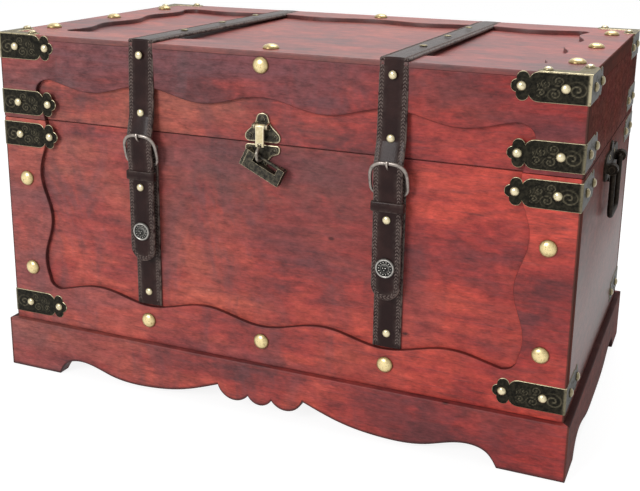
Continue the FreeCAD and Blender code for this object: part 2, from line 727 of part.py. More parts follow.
def flap_parts(x):
    """One flap with its buckle, keeper loop, rivet and snap cap."""
    half = LEATHER / 2
    face = FLAP_Y - half
    back = FLAP_Y + half
    rivet_sizes = STRAP_RIVET[:3] + (LEATHER,)
    rivet = Fastener(Vector(x, face, SEAM_HEIGHT - FLAP_RIVET), -Y_AXIS, rivet_sizes)
    cap_sizes = (SNAP_CAP_RADIUS, SNAP_CAP_HEIGHT, SNAP_POST_RADIUS, LEATHER)
    cap = Fastener(Vector(x, face, SEAM_HEIGHT - SNAP_DROP), -Y_AXIS, cap_sizes)
    seat = Vector(x, back, SEAM_HEIGHT - SNAP_DROP)
    socket = rod(seat, seat.add(Y_AXIS * SNAP_SOCKET_HEIGHT), SNAP_SOCKET_RADIUS)
    hole = prong_hole_centre(x, face, back).sub(Y_AXIS * LEATHER)
    prong_hole = Part.makeCylinder(PRONG_HOLE_RADIUS, 2 * LEATHER, hole, Y_AXIS)
    leather = drilled(flap_leather(x), [rivet, cap]).cut(prong_hole)
    studs = Part.makeCompound([rivet.solid(), fused([cap.solid(), socket])])
    return leather, buckle(x, face, back), keeper(x), studs


def buckle_lie(face, back):
    """Height and depth of a buckle's bar, and the lean that brings its top in front of the leather."""
    bar_z = SEAM_HEIGHT - BUCKLE_BAR_DROP
    bar_y = back + BUCKLE_CLEAR + BUCKLE_WIRE
    top_y = face - BUCKLE_CLEAR - BUCKLE_WIRE
    return bar_y, bar_z, math.degrees(math.asin((bar_y - top_y) / BUCKLE_LENGTH))


def buckle(x, face, back):
    """D-shaped wire frame round the flap, its bar behind the leather, and its prong."""
    bar_y, bar_z, lean = buckle_lie(face, back)
    foot = BUCKLE_FOOT_ROUND
    dip = BUCKLE_ROUND * (1 - math.sqrt(0.5))
    nip = foot * (1 - math.sqrt(0.5))

    def at(u, v):
        return Vector(x + u, bar_y, bar_z + v)

    high = BUCKLE_LENGTH - BUCKLE_ROUND
    flat = BUCKLE_HALF - BUCKLE_ROUND
    edges = [line(at(0, 0), at(BUCKLE_HALF - foot, 0))]
    edges.append(arc(at(BUCKLE_HALF - foot, 0), at(BUCKLE_HALF - nip, nip), at(BUCKLE_HALF, foot)))
    edges.append(line(at(BUCKLE_HALF, foot), at(BUCKLE_HALF, high)))
    edges.append(arc(at(BUCKLE_HALF, high), at(BUCKLE_HALF - dip, BUCKLE_LENGTH - dip), at(flat, BUCKLE_LENGTH)))
    edges.append(line(at(flat, BUCKLE_LENGTH), at(-flat, BUCKLE_LENGTH)))
    edges.append(arc(at(-flat, BUCKLE_LENGTH), at(dip - BUCKLE_HALF, BUCKLE_LENGTH - dip), at(-BUCKLE_HALF, high)))
    edges.append(line(at(-BUCKLE_HALF, high), at(-BUCKLE_HALF, foot)))
    edges.append(arc(at(-BUCKLE_HALF, foot), at(nip - BUCKLE_HALF, nip), at(foot - BUCKLE_HALF, 0)))
    edges.append(line(at(foot - BUCKLE_HALF, 0), at(0, 0)))
    frame = tube(edges, BUCKLE_WIRE)
    frame.rotate(Vector(x, bar_y, bar_z), X_AXIS, lean)
    return Part.makeCompound([frame, prong(x, face, back)])


def prong_points(x, face, back):
    """Bends of the prong: from just above the bar, through the flap and over the frame's top."""
    bar_y, bar_z, lean = buckle_lie(face, back)
    turn = math.radians(lean)
    top = (bar_y - BUCKLE_LENGTH * math.sin(turn), bar_z + BUCKLE_LENGTH * math.cos(turn))
    clear = BUCKLE_WIRE + PRONG_WIRE + BUCKLE_CLEAR
    start = Vector(x, bar_y, bar_z + clear)
    knee = Vector(x, bar_y, bar_z + PRONG_KNEE)
    over = Vector(x, top[0] - clear, top[1] - BUCKLE_WIRE)
    tip = Vector(x, top[0] - clear, top[1] + BUCKLE_WIRE)
    return [start, knee, over, tip]


def prong_hole_centre(x, face, back):
    """Where the prong crosses the middle of the leather."""
    knee, over = prong_points(x, face, back)[1:3]
    share = (FLAP_Y - knee.y) / (over.y - knee.y)
    return knee.add(over.sub(knee) * share)


def prong(x, face, back):
    points = prong_points(x, face, back)
    pieces = [rod(a, b, PRONG_WIRE) for a, b in zip(points, points[1:])]
    pieces += [Part.makeSphere(PRONG_WIRE, p) for p in points[1:]]
    return fused(pieces)


def keeper(x):
    """Leather loop that holds the flap's layers together."""
    half = STRAP_WIDTH / 2 + KEEPER_CLEAR
    deep = LEATHER / 2 + KEEPER_CLEAR
    high = SEAM_HEIGHT - KEEPER_DROP + KEEPER_HEIGHT / 2
    low = high - KEEPER_HEIGHT
    wall = KEEPER_WALL
    outer = box((x - half - wall, FLAP_Y - deep - wall, low), (x + half + wall, FLAP_Y + deep + wall, high))
    return outer.cut(box((x - half, FLAP_Y - deep, low), (x + half, FLAP_Y + deep, high)))


def lobed_plate(lobes, edge):
    """Plate on the recessed front: discs (x, z, radius), joined, with a straight edge along the seam."""
    face = Vector(0, HASP_FACE, 0)
    discs = []
    for x, z, radius in lobes:
        discs.append(Part.makeCylinder(radius, HASP_PLATE, face.add(Vector(x, 0, z)), Y_AXIS))
    middle = polygon_slab([face.add(Vector(x, 0, z)) for x, z, _ in lobes], Y_AXIS * HASP_PLATE)
    low, high = sorted((lobes[0][1], edge))
    bar = box((-HASP_LOBE_HALF, HASP_FACE, low), (HASP_LOBE_HALF, RECESS, high))
    return fused([middle, bar] + discs)


def hasp_screw(x, z):
    return Fastener(Vector(x, HASP_FACE, z), -Y_AXIS, SMALL_SCREW)


def hasp():
    """Hinged hasp on the lid: plate with two ears, its pin and the swinging tongue."""
    lobe_z = SEAM_HEIGHT + HASP_LOBE_UP
    top_z = SEAM_HEIGHT + HASP_TOP_UP
    lobes = [(-HASP_LOBE_HALF, lobe_z, HASP_LOBE), (HASP_LOBE_HALF, lobe_z, HASP_LOBE), (0, top_z, HASP_TOP_LOBE)]
    screws = [hasp_screw(x, z) for x, z, _ in lobes]
    ear_in = TONGUE_HALF + EAR_GAP
    ear_out = ear_in + EAR_WIDTH
    pin_at = Vector(0, PIN_Y, PIN_Z)
    bore = PIN_RADIUS + PIN_CLEAR
    pieces = [lobed_plate(lobes, SEAM_HEIGHT + PLATE_SEAM_GAP)]
    for side in (-1, 1):
        start = pin_at.add(X_AXIS * (side * ear_in))
        end = pin_at.add(X_AXIS * (side * ear_out))
        low, high = sorted((start.x, end.x))
        pieces.append(rod(start, end, KNUCKLE))
        pieces.append(box((low, PIN_Y, PIN_Z - KNUCKLE), (high, HASP_FACE, PIN_Z + KNUCKLE)))
    across = rod(pin_at.sub(X_AXIS * ear_out), pin_at.add(X_AXIS * ear_out), bore)
    plate = drilled(fused(pieces).cut(across), screws)
    pin_half = X_AXIS * (ear_out + EAR_GAP)
    pin = rod(pin_at.sub(pin_half), pin_at.add(pin_half), PIN_RADIUS)
    front = PIN_Y - KNUCKLE
    knuckle = rod(pin_at.sub(X_AXIS * TONGUE_HALF), pin_at.add(X_AXIS * TONGUE_HALF), KNUCKLE)
    low = SEAM_HEIGHT - TONGUE_TIP
    strip = box((-TONGUE_HALF, front, low), (TONGUE_HALF, front + TONGUE_THICK, PIN_Z))
    slot = box((-TONGUE_SLOT_HALF, front, low),
               (TONGUE_SLOT_HALF, front + TONGUE_THICK, SEAM_HEIGHT + TONGUE_SLOT_TOP))
    tongue = fused([knuckle, strip]).cut(across).cut(slot)
    return {"hasp_plate": plate, "hasp_pin": pin, "hasp_tongue": tongue}, screws


def staple():
    """Fixed staple on the body: lobed plate and a wire loop standing out of it."""
    lobe_z = SEAM_HEIGHT - STAPLE_LOBE_DOWN
    low_z = SEAM_HEIGHT - STAPLE_LOW_DOWN
    lobes = [(-HASP_LOBE_HALF, lobe_z, HASP_LOBE - SEAM_GAP), (0, low_z, STAPLE_LOW_LOBE),
             (HASP_LOBE_HALF, lobe_z, HASP_LOBE - SEAM_GAP)]
    screws = [hasp_screw(x, z) for x, z, _ in lobes]
    bend = HASP_FACE - STAPLE_LEG
    radius = STAPLE_OPENING / 2

    def at(y, z):
        return Vector(0, y, z)

    edges = [line(at(HASP_FACE, STAPLE_TOP_Z), at(bend, STAPLE_TOP_Z))]
    edges.append(arc(at(bend, STAPLE_TOP_Z), at(bend - radius, STAPLE_TOP_Z - radius), at(bend, STAPLE_LOW_Z)))
    edges.append(line(at(bend, STAPLE_LOW_Z), at(HASP_FACE, STAPLE_LOW_Z)))
    screws[1].seat.z -= STAPLE_SCREW_DROP
    plate = drilled(lobed_plate(lobes, SEAM_HEIGHT - PLATE_SEAM_GAP), screws)
    return {"staple_plate": plate, "staple_loop": tube(edges, STAPLE_WIRE)}, screws


def padlock():
    """Bar padlock that hangs tilted by its straight shackle on the staple's lower leg."""
    half = LOCK_THICK / 2
    inner = LOCK_END_PLATE + LOCK_SLIDE_GAP
    right = LOCK_LENGTH - LOCK_RIGHT_POST
    rod_v = LOCK_HEIGHT - SHACKLE_DOWN
    bolt_low = (LOCK_BAR - BOLT_HEIGHT) / 2
    clear = LOCK_CLEAR
    case = box((inner, -half, 0), (LOCK_LENGTH, half, LOCK_HEIGHT))
    window = box((LOCK_LEFT_POST, -half, LOCK_BAR), (right, half, LOCK_HEIGHT))
    bolt_room = box((inner, -BOLT_WIDTH / 2 - clear, bolt_low - clear),
                    (inner + BOLT_LENGTH + clear, BOLT_WIDTH / 2 + clear, bolt_low + BOLT_HEIGHT + clear))
    rod_hole = rod(Vector(inner, 0, rod_v), Vector(right + SHACKLE_GRIP + clear, 0, rod_v), SHACKLE_RADIUS + clear)
    keyhole = box((LOCK_LENGTH - KEYHOLE_DEPTH, -KEYHOLE_WIDTH / 2, bolt_low),
                  (LOCK_LENGTH, KEYHOLE_WIDTH / 2, bolt_low + BOLT_HEIGHT))
    case = case.cut([window, bolt_room, rod_hole, keyhole])
    end_plate = box((0, -half, 0), (LOCK_END_PLATE, half, LOCK_HEIGHT))
    shackle = rod(Vector(LOCK_END_PLATE, 0, rod_v), Vector(right + SHACKLE_GRIP, 0, rod_v), SHACKLE_RADIUS)
    bolt = box((LOCK_END_PLATE, -BOLT_WIDTH / 2, bolt_low),
               (LOCK_END_PLATE + BOLT_LENGTH, BOLT_WIDTH / 2, bolt_low + BOLT_HEIGHT))
    shackle = fused([end_plate, shackle, bolt])
    hang = Vector(LOCK_HANG, 0, rod_v - SHACKLE_RADIUS - clear - STAPLE_WIRE)
    staple_leg = Vector(0, HASP_FACE - LOCK_STAND_OFF - half, STAPLE_LOW_Z)
    for piece in (case, shackle):
        piece.translate(staple_leg.sub(hang))
        piece.rotate(staple_leg, Y_AXIS, LOCK_TILT)
    return {"padlock_body": case, "padlock_shackle": shackle}


def handle(side):
    """Drop handle on one side: plate with two eyes, the bail and its screws."""
    seat = Vector(side * HALF_W, 0, HANDLE_Z)
    face = Vector(side * (HALF_W + HANDLE_PLATE), 0, HANDLE_Z)
    outward = X_AXIS * side
    pieces = [box((min(seat.x, face.x), -HANDLE_HALF, HANDLE_Z - HANDLE_END),
                  (max(seat.x, face.x), HANDLE_HALF, HANDLE_Z + HANDLE_END))]
    discs = [(-HANDLE_HALF, 0, HANDLE_END), (HANDLE_HALF, 0, HANDLE_END)]
    discs += [(0, HANDLE_END - 1, HANDLE_FLEUR), (0, 1 - HANDLE_END, HANDLE_FLEUR)]
    for y, z, radius in discs:
        pieces.append(Part.makeCylinder(radius, HANDLE_PLATE, seat.add(Vector(0, y, z)), outward))
    pivot = Vector(side * HANDLE_X, 0, HANDLE_Z)
    eye_in = HANDLE_HALF - EYE_LENGTH / 2
    eye_out = HANDLE_HALF + EYE_LENGTH / 2
    for end in (-1, 1):
        start = pivot.add(Y_AXIS * (end * eye_in))
        stop = pivot.add(Y_AXIS * (end * eye_out))
        pieces.append(rod(start, stop, EYE_RADIUS))
        low, high = sorted((start.y, stop.y))
        neck = EYE_RADIUS * 0.8
        pieces.append(box((min(face.x, pivot.x), low, HANDLE_Z - neck), (max(face.x, pivot.x), high, HANDLE_Z + neck)))
    bore = rod(pivot.sub(Y_AXIS * eye_out), pivot.add(Y_AXIS * eye_out), BAIL_WIRE + BAIL_CLEAR)
    screw_rows = HANDLE_END - SMALL_SCREW[0] * 2
    screws = [Fastener(face.add(Vector(0, y, z)), outward, SMALL_SCREW)
              for y in (-HANDLE_SCREW, HANDLE_SCREW) for z in (-screw_rows, screw_rows)]
    plate = drilled(fused(pieces).cut(bore), screws)
    return plate, bail(pivot, eye_out), screws


def bail(pivot, reach):
    """Bent wire handle: two pins in the eyes, two legs and a bottom grip."""
    elbow = BAIL_ELBOW * (1 - math.sqrt(0.5))
    dip = BAIL_ROUND * (1 - math.sqrt(0.5))

    def at(y, z):
        return pivot.add(Vector(0, y, z))

    low = -BAIL_DROP
    half_edges = []
    for end in (1, -1):
        corner = BAIL_HALF - BAIL_ROUND
        run = [line(at(end * reach, 0), at(end * (BAIL_HALF + BAIL_ELBOW), 0))]
        run.append(arc(at(end * (BAIL_HALF + BAIL_ELBOW), 0), at(end * (BAIL_HALF + elbow), -elbow),
                       at(end * BAIL_HALF, -BAIL_ELBOW)))
        run.append(line(at(end * BAIL_HALF, -BAIL_ELBOW), at(end * BAIL_HALF, low + BAIL_ROUND)))
        run.append(arc(at(end * BAIL_HALF, low + BAIL_ROUND), at(end * (BAIL_HALF - dip), low + dip),
                       at(end * corner, low)))
        half_edges.append(run)
    corner = BAIL_HALF - BAIL_ROUND
    grip = line(at(corner, low), at(-corner, low))
    return tube(half_edges[0] + [grip] + half_edges[1][::-1], BAIL_WIRE)


def hinge_leaf(x, up, spans):
    """One leaf of a butt hinge on the back, above (up = 1) or below (up = -1) its axis."""
    clear = HINGE_KNUCKLE + HINGE_KNUCKLE_GAP
    near = SEAM_HEIGHT + up * clear
    far = SEAM_HEIGHT + up * HINGE_LEAF
    half = HINGE_LENGTH / 2
    sheet = BACK + HINGE_SHEET
    pieces = [box((x - half, BACK, min(near, far)), (x + half, sheet, max(near, far)))]
    axis = Vector(0, HINGE_Y, SEAM_HEIGHT)
    for start, end in spans:
        low, high = sorted((SEAM_HEIGHT, near))
        pieces.append(rod(axis.add(X_AXIS * (x + start)), axis.add(X_AXIS * (x + end)), HINGE_KNUCKLE))
        pieces.append(box((x + start, BACK, low), (x + end, sheet, high)))
    bore = rod(axis.add(X_AXIS * (x - half)), axis.add(X_AXIS * (x + half)), HINGE_PIN + HINGE_CLEAR)
    screws = [Fastener(Vector(x + along, sheet, SEAM_HEIGHT + up * HINGE_SCREW_UP), Y_AXIS, SMALL_SCREW)
              for along in HINGE_SCREWS]
    return drilled(fused(pieces).cut(bore), screws), screws


def hinges():
    half = HINGE_LENGTH / 2
    middle = HINGE_MIDDLE / 2
    outer = [(-half, -middle - HINGE_KNUCKLE_GAP), (middle + HINGE_KNUCKLE_GAP, half)]
    body, lid, pins, body_screws, lid_screws = [], [], [], [], []
    for side in (-1, 1):
        x = side * HINGE_X
        leaf, screws = hinge_leaf(x, -1, outer)
        body.append(leaf)
        body_screws += screws
        leaf, screws = hinge_leaf(x, 1, [(-middle, middle)])
        lid.append(leaf)
        lid_screws += screws
        axis = Vector(x, HINGE_Y, SEAM_HEIGHT)
        ends = [axis.sub(X_AXIS * half), axis.add(X_AXIS * half)]
        pieces = [rod(ends[0], ends[1], HINGE_PIN)]
        for end, way in zip(ends, (-1, 1)):
            pieces.append(rod(end, end.add(X_AXIS * (way * HINGE_HEAD)), HINGE_KNUCKLE - HINGE_HEAD / 2))
        pins.append(fused(pieces))
    nodes = {"hinge_body_leaves": body, "hinge_lid_leaves": lid, "hinge_pins": pins}
    return {name: Part.makeCompound(solids) for name, solids in nodes.items()}, body_screws, lid_screws


def knee_between(lid, body, body_arm):
    """Meeting point of the two arms, on the side towards the chest's front."""
    apart = math.dist(lid, body)
    along = (body_arm ** 2 - STAY_LID_ARM ** 2 + apart ** 2) / (2 * apart)
    aside = math.sqrt(body_arm ** 2 - along ** 2)
    u = ((lid[0] - body[0]) / apart, (lid[1] - body[1]) / apart)
    return body[0] + along * u[0] - aside * u[1], body[1] + along * u[1] + aside * u[0]


def heading(start, end):
    return math.atan2(end[1] - start[1], end[0] - start[0])


def stay_knee():
    """Pivots and knee of the closed stay, whose arms reach almost in line when the lid is open."""
    lid = (HINGE_Y - STAY_LID_FORWARD, SEAM_HEIGHT + STAY_LID_UP)
    body = (HINGE_Y - STAY_BODY_FORWARD, SEAM_HEIGHT - STAY_BODY_DOWN)
    turn = math.radians(STAY_OPEN_ANGLE)
    opened = (HINGE_Y - STAY_LID_FORWARD * math.cos(turn) + STAY_LID_UP * math.sin(turn),
              SEAM_HEIGHT + STAY_LID_FORWARD * math.sin(turn) + STAY_LID_UP * math.cos(turn))
    body_arm = math.dist(opened, body) + STAY_SPARE - STAY_LID_ARM
    knee = knee_between(lid, body, body_arm)
    open_knee = knee_between(opened, body, body_arm)
    lid_turn = heading(opened, open_knee) + turn - heading(lid, knee)
    body_turn = heading(body, open_knee) - heading(body, knee)
    turns = [math.degrees(math.remainder(t, 2 * math.pi)) for t in (lid_turn, body_turn)]
    print("stay pivots and knee", lid, body, knee, "turns of the lid arm and body arm", turns)
    return lid, body, knee


def stay_arm(x, pivot, knee):
    """Flat bar with round ends between two points of the side wall's plane."""
    start = Vector(x, *pivot)
    end = Vector(x, *knee)
    run = end.sub(start)
    across = X_AXIS.cross(run).normalize() * STAY_BAR_HALF
    bar = polygon_slab([start.add(across), end.add(across), end.sub(across), start.sub(across)], X_AXIS * STAY_BAR)
    ends = [Part.makeCylinder(STAY_BAR_HALF, STAY_BAR, p, X_AXIS) for p in (start, end)]
    bore = Part.makeCylinder(STAY_SCREW_RADIUS + PIN_CLEAR, STAY_BAR, start, X_AXIS)
    return fused([bar] + ends).cut(bore)


def stay():
    """Folding stay on the right wall: one arm on the lid, one on the body, and their pivot screws."""
    lid, body, knee = stay_knee()
    lid_x = SIDE_INSIDE - STAY_WALL_GAP - STAY_BAR
    body_x = lid_x - STAY_GAP - STAY_BAR
    boss_at = Vector(body_x, *knee)
    boss = rod(boss_at, boss_at.sub(X_AXIS * STAY_HEAD), STAY_BAR_HALF - PIN_CLEAR)
    arms = {"stay_lid_arm": stay_arm(lid_x, lid, knee), "stay_body_arm": fused([stay_arm(body_x, body, knee), boss])}
    screws = []
    for x, point in ((lid_x, lid), (body_x, body)):
        seat = x - EAR_GAP
        sizes = (STAY_BAR_HALF, STAY_HEAD, STAY_SCREW_RADIUS, SIDE_INSIDE + STAY_SCREW_DEEP - seat)
        screws.append(Fastener(Vector(seat, *point), -X_AXIS, sizes, flat=True))
    return arms, screws[0], screws[1]


def build():
    """Every node of the chest by name."""
    nodes = plinth()
    body = body_boards()
    lid = lid_boards()
    half = BRACKET_HEIGHT / 2
    lid_half = LID_BRACKET_HEIGHT / 2
    body_nails, lid_nails = [], []
    levels = {
        "body_upper_brackets": (SEAM_HEIGHT - BRACKET_SEAM_GAP - half, BRACKET_HEIGHT, body_nails),
        "body_lower_brackets": (PLINTH_HEIGHT + BRACKET_FOOT_GAP + half, BRACKET_HEIGHT, body_nails),
        "lid_edge_brackets": (SEAM_HEIGHT + BRACKET_SEAM_GAP + lid_half, LID_BRACKET_HEIGHT, lid_nails),
        "lid_corner_caps": (LID_TOP - lid_half, LID_BRACKET_HEIGHT, lid_nails),
    }
    for name, (middle, height, nails) in levels.items():
        solids, new_nails = brackets(middle, height, capped=name == "lid_corner_caps")
        nodes[name] = Part.makeCompound(solids)
        nails += new_nails
    nodes["body_bracket_nails"] = group(body_nails)
    nodes["lid_bracket_nails"] = group(lid_nails)

    hasp_nodes, hasp_screws = hasp()
    staple_nodes, staple_screws = staple()
    hinge_nodes, hinge_body_screws, hinge_lid_screws = hinges()
    stay_nodes, stay_lid_screw, stay_body_screw = stay()
    for made in (hasp_nodes, staple_nodes, hinge_nodes, stay_nodes, padlock()):
        nodes.update(made)
    body_screws = staple_screws + hinge_body_screws + [stay_body_screw]
    lid_screws = hasp_screws + hinge_lid_screws + [stay_lid_screw]

    strap_rivets, lower_rivets, studs = [], [], []
    for side, word in ((-1, "left"), (1, "right")):
        x = side * STRAP_CENTRE
        rivets = lid_strap_rivets(x)
        strap_rivets += rivets
        nodes["lid_strap_" + word] = lid_strap(x, rivets)
        nodes["lower_strap_" + word], rivets, stud = lower_strap(x)
        lower_rivets += rivets
        studs.append(stud)
        flap = flap_parts(x)
        for piece, shape in zip(("flap_", "buckle_", "keeper_", "flap_studs_"), flap):
            nodes[piece + word] = shape
        nodes["handle_plate_" + word], nodes["handle_bail_" + word], screws = handle(side)
        body_screws += screws
    nodes["lid_strap_rivets"] = group(strap_rivets)
    nodes["lower_strap_rivets"] = group(lower_rivets)
    nodes["snap_studs"] = group(studs)
    nodes["body_screws"] = group(body_screws)
    nodes["lid_screws"] = group(lid_screws)
    nodes["body_dome_nails"] = group(body_domes())
    nodes["lid_dome_nails"] = group(lid_domes())

    body_shanks = body_nails + body_screws + body_domes() + lower_rivets + studs
    lid_shanks = lid_nails + lid_screws + lid_domes() + strap_rivets
    for boards, shanks in ((body, body_shanks), (lid, lid_shanks)):
        for name, shape in boards.items():
            nodes[name] = drilled(shape, shanks)
    return nodes


os.makedirs("parts", exist_ok=True)
for name, shape in build().items():
    shape.exportStep("parts/" + name + ".step")
    print(name, "solids", len(shape.Solids), "valid", shape.isValid(), "volume", round(shape.Volume, 1))
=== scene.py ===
# %% [markdown]
# # A red-stained treasure chest
# The chest's boards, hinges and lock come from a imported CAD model, which is loaded first as a fixed frame.
# What the camera sees most, the wavy frames, straps, brackets and nails, is then worked out with numpy,
# and every surface gets a finish made of shader nodes. All sizes below are millimetres unless a name says
# otherwise; meshes are written in metres.

# %% The frame
import math
import bmesh
import bpy
import numpy as np
from mathutils import Matrix


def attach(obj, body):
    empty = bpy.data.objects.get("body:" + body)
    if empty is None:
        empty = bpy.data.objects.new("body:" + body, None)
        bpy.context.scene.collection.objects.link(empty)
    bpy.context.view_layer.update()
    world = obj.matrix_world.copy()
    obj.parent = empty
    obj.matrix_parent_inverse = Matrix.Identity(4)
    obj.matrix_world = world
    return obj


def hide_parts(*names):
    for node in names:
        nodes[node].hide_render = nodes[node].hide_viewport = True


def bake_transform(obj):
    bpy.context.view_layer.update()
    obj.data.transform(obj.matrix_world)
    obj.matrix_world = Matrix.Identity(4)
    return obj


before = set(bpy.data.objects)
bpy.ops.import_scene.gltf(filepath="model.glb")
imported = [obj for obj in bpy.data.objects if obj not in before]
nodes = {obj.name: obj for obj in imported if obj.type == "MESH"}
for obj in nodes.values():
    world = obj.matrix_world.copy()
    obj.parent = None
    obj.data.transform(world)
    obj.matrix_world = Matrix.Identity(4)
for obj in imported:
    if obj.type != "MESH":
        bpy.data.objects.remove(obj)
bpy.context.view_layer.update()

MM = 0.001

# %% [markdown]
# ## Shells
# Each new piece is a grid of points. A row follows the piece along its length, a column goes round its
# section, so neighbouring grid points make the quads. A closed section wraps round; open ends get one flat
# face each. Every point also carries a number called wear: how much hands and polish have rubbed it, and on
# some pieces painted shade and painted highlights as well.

# %% Grids into pieces
WELD_M = 1e-6
QUARTER = np.pi / 2


def unit(vectors):
    """Vectors at length one, along the last axis."""
    return vectors / np.linalg.norm(vectors, axis=-1, keepdims=True)


def points_of(*coordinates):
    """Points from their coordinates; a shorter coordinate is repeated."""
    return np.stack(np.broadcast_arrays(*coordinates), axis=-1)


def full_turn(count):
    """Angles of a full turn, evenly spaced."""
    return np.linspace(0, 2 * np.pi, count, endpoint=False)


def grid_quads(rows, columns, wrap_rows=False):
    """Quad (i, j) joins grid point (i, j) with its next neighbours along the row and the column."""
    i = np.arange(rows if wrap_rows else rows - 1)[:, None]
    j = np.arange(columns)[None, :]
    next_i = (i + 1) % rows
    next_j = (j + 1) % columns
    row, next_row = i * columns, next_i * columns
    return points_of(row + j, row + next_j, next_row + next_j, next_row + j).reshape(-1, 4)


def shell(points, wear=0.0, wrap_rows=False, caps=True):
    """Closed surface from points of shape (rows, columns, 3), with flat ends where rows don't wrap."""
    rows, columns = points.shape[:2]
    faces = grid_quads(rows, columns, wrap_rows).tolist()
    if caps and not wrap_rows:
        faces.append(list(range(columns))[::-1])
        faces.append(list(range((rows - 1) * columns, rows * columns)))
    worn = np.broadcast_to(np.asarray(wear, float), (rows, columns)).reshape(-1)
    return points.reshape(-1, 3), faces, worn


def add_object(name, data):
    """New object of the scene for a mesh, a lamp or a camera."""
    thing = bpy.data.objects.new(name, data)
    bpy.context.scene.collection.objects.link(thing)
    return thing


def make_piece(name, shells, body, finish, replaced=(), crease=35.0):
    """One object from several shells, in metres, with its outward faces, wear and smooth shading."""
    starts = np.cumsum([0] + [len(s[0]) for s in shells])
    points = np.concatenate([s[0] for s in shells]) * MM
    faces = [[k + start for k in face] for s, start in zip(shells, starts) for face in s[1]]
    mesh = bpy.data.meshes.new(name)
    mesh.from_pydata(points.tolist(), [], faces)
    layer = mesh.attributes.new("wear", "FLOAT", "POINT")
    layer.data.foreach_set("value", np.concatenate([s[2] for s in shells]).astype(np.float32))
    loose = bmesh.new()
    loose.from_mesh(mesh)
    bmesh.ops.remove_doubles(loose, verts=loose.verts, dist=WELD_M)
    bmesh.ops.recalc_face_normals(loose, faces=loose.faces)
    loose.to_mesh(mesh)
    loose.free()
    mesh.shade_smooth()
    mesh.set_sharp_from_angle(angle=math.radians(crease))
    piece = add_object(name, mesh)
    mesh.materials.append(finish)
    if body:
        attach(piece, body)
    if replaced:
        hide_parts(*replaced)
    print(name, len(mesh.vertices), "points")
    return piece


# %% [markdown]
# ## Finishes as expressions
# A material is a graph of nodes, which reads badly as a list of links. The small class below wraps a socket
# so that ordinary arithmetic on sockets adds the Math nodes, and a material reads like a formula.

# %% Sockets in expressions
class Flow:
    """A shader socket in a Python expression: each operator adds one Math node."""

    def __init__(self, owner, socket):
        self.owner = owner
        self.socket = socket

    def math(self, operation, *values):
        return self.owner.node("ShaderNodeMath", {"operation": operation}, dict(enumerate(values)))

    def __add__(self, other):
        return self.math("ADD", self, other)

    def __radd__(self, other):
        return self.math("ADD", other, self)

    def __sub__(self, other):
        return self.math("SUBTRACT", self, other)

    def __rsub__(self, other):
        return self.math("SUBTRACT", other, self)

    def __mul__(self, other):
        return self.math("MULTIPLY", self, other)

    def __rmul__(self, other):
        return self.math("MULTIPLY", other, self)

    def or_more(self, other):
        """The larger of two values."""
        return self.math("MAXIMUM", self, other)

    def between(self, low, high):
        """0 at low, 1 at high, smooth in between."""
        values = {"Value": self, "From Min": low, "From Max": high}
        return self.owner.node("ShaderNodeMapRange", {"interpolation_type": "SMOOTHSTEP"}, values)


class Tree:
    """The nodes of a material or of the surround: node() adds any node, link() fills one socket."""

    def __init__(self, owner):
        owner.use_nodes = True
        self.tree = owner.node_tree

    def link(self, node, key, value):
        if isinstance(value, Flow):
            self.tree.links.new(value.socket, node.inputs[key])
        else:
            node.inputs[key].default_value = value

    def node(self, kind, settings=None, values=None, out=0):
        """Adds a node, sets its settings first, then its sockets, and returns one of its outputs."""
        node = self.tree.nodes.new(kind)
        for key, value in (settings or {}).items():
            if key == "stops":
                ramp = node.color_ramp
                while len(ramp.elements) < len(value):
                    ramp.elements.new(0.5)
                for element, (place, colour) in zip(ramp.elements, value):
                    element.position = place
                    element.color = colour
            else:
                setattr(node, key, value)
        for key, value in (values or {}).items():
            self.link(node, key, value)
        return Flow(self, node.outputs[out])

    def in_sight(self):
        """1 for what the camera sees, also mirrored or through glass, and 0 for plain light."""
        rays = [self.node("ShaderNodeLightPath", out=f"Is {kind} Ray")
                for kind in ("Camera", "Glossy", "Transmission")]
        return rays[0].or_more(rays[1]).or_more(rays[2])


# %% [markdown]
# A finish needs the same few sources again and again: places on the object, noise, cells, painted wear,
# which in places also carries painted shade and highlights, and sharp edges. They are methods of one class,
# so that each finish below is only its own recipe.

# %% A finish and its sources
EDGE_SAMPLES = 4


def srgb(red, green, blue):
    """Screen colour of 0 to 255 as the linear colour that shaders use."""
    c = np.array([red, green, blue]) / 255.0
    linear = np.where(c <= 0.04045, c / 12.92, ((c + 0.055) / 1.055) ** 2.4)
    return (*linear.tolist(), 1.0)


def grey(level):
    return (level, level, level, 1.0)


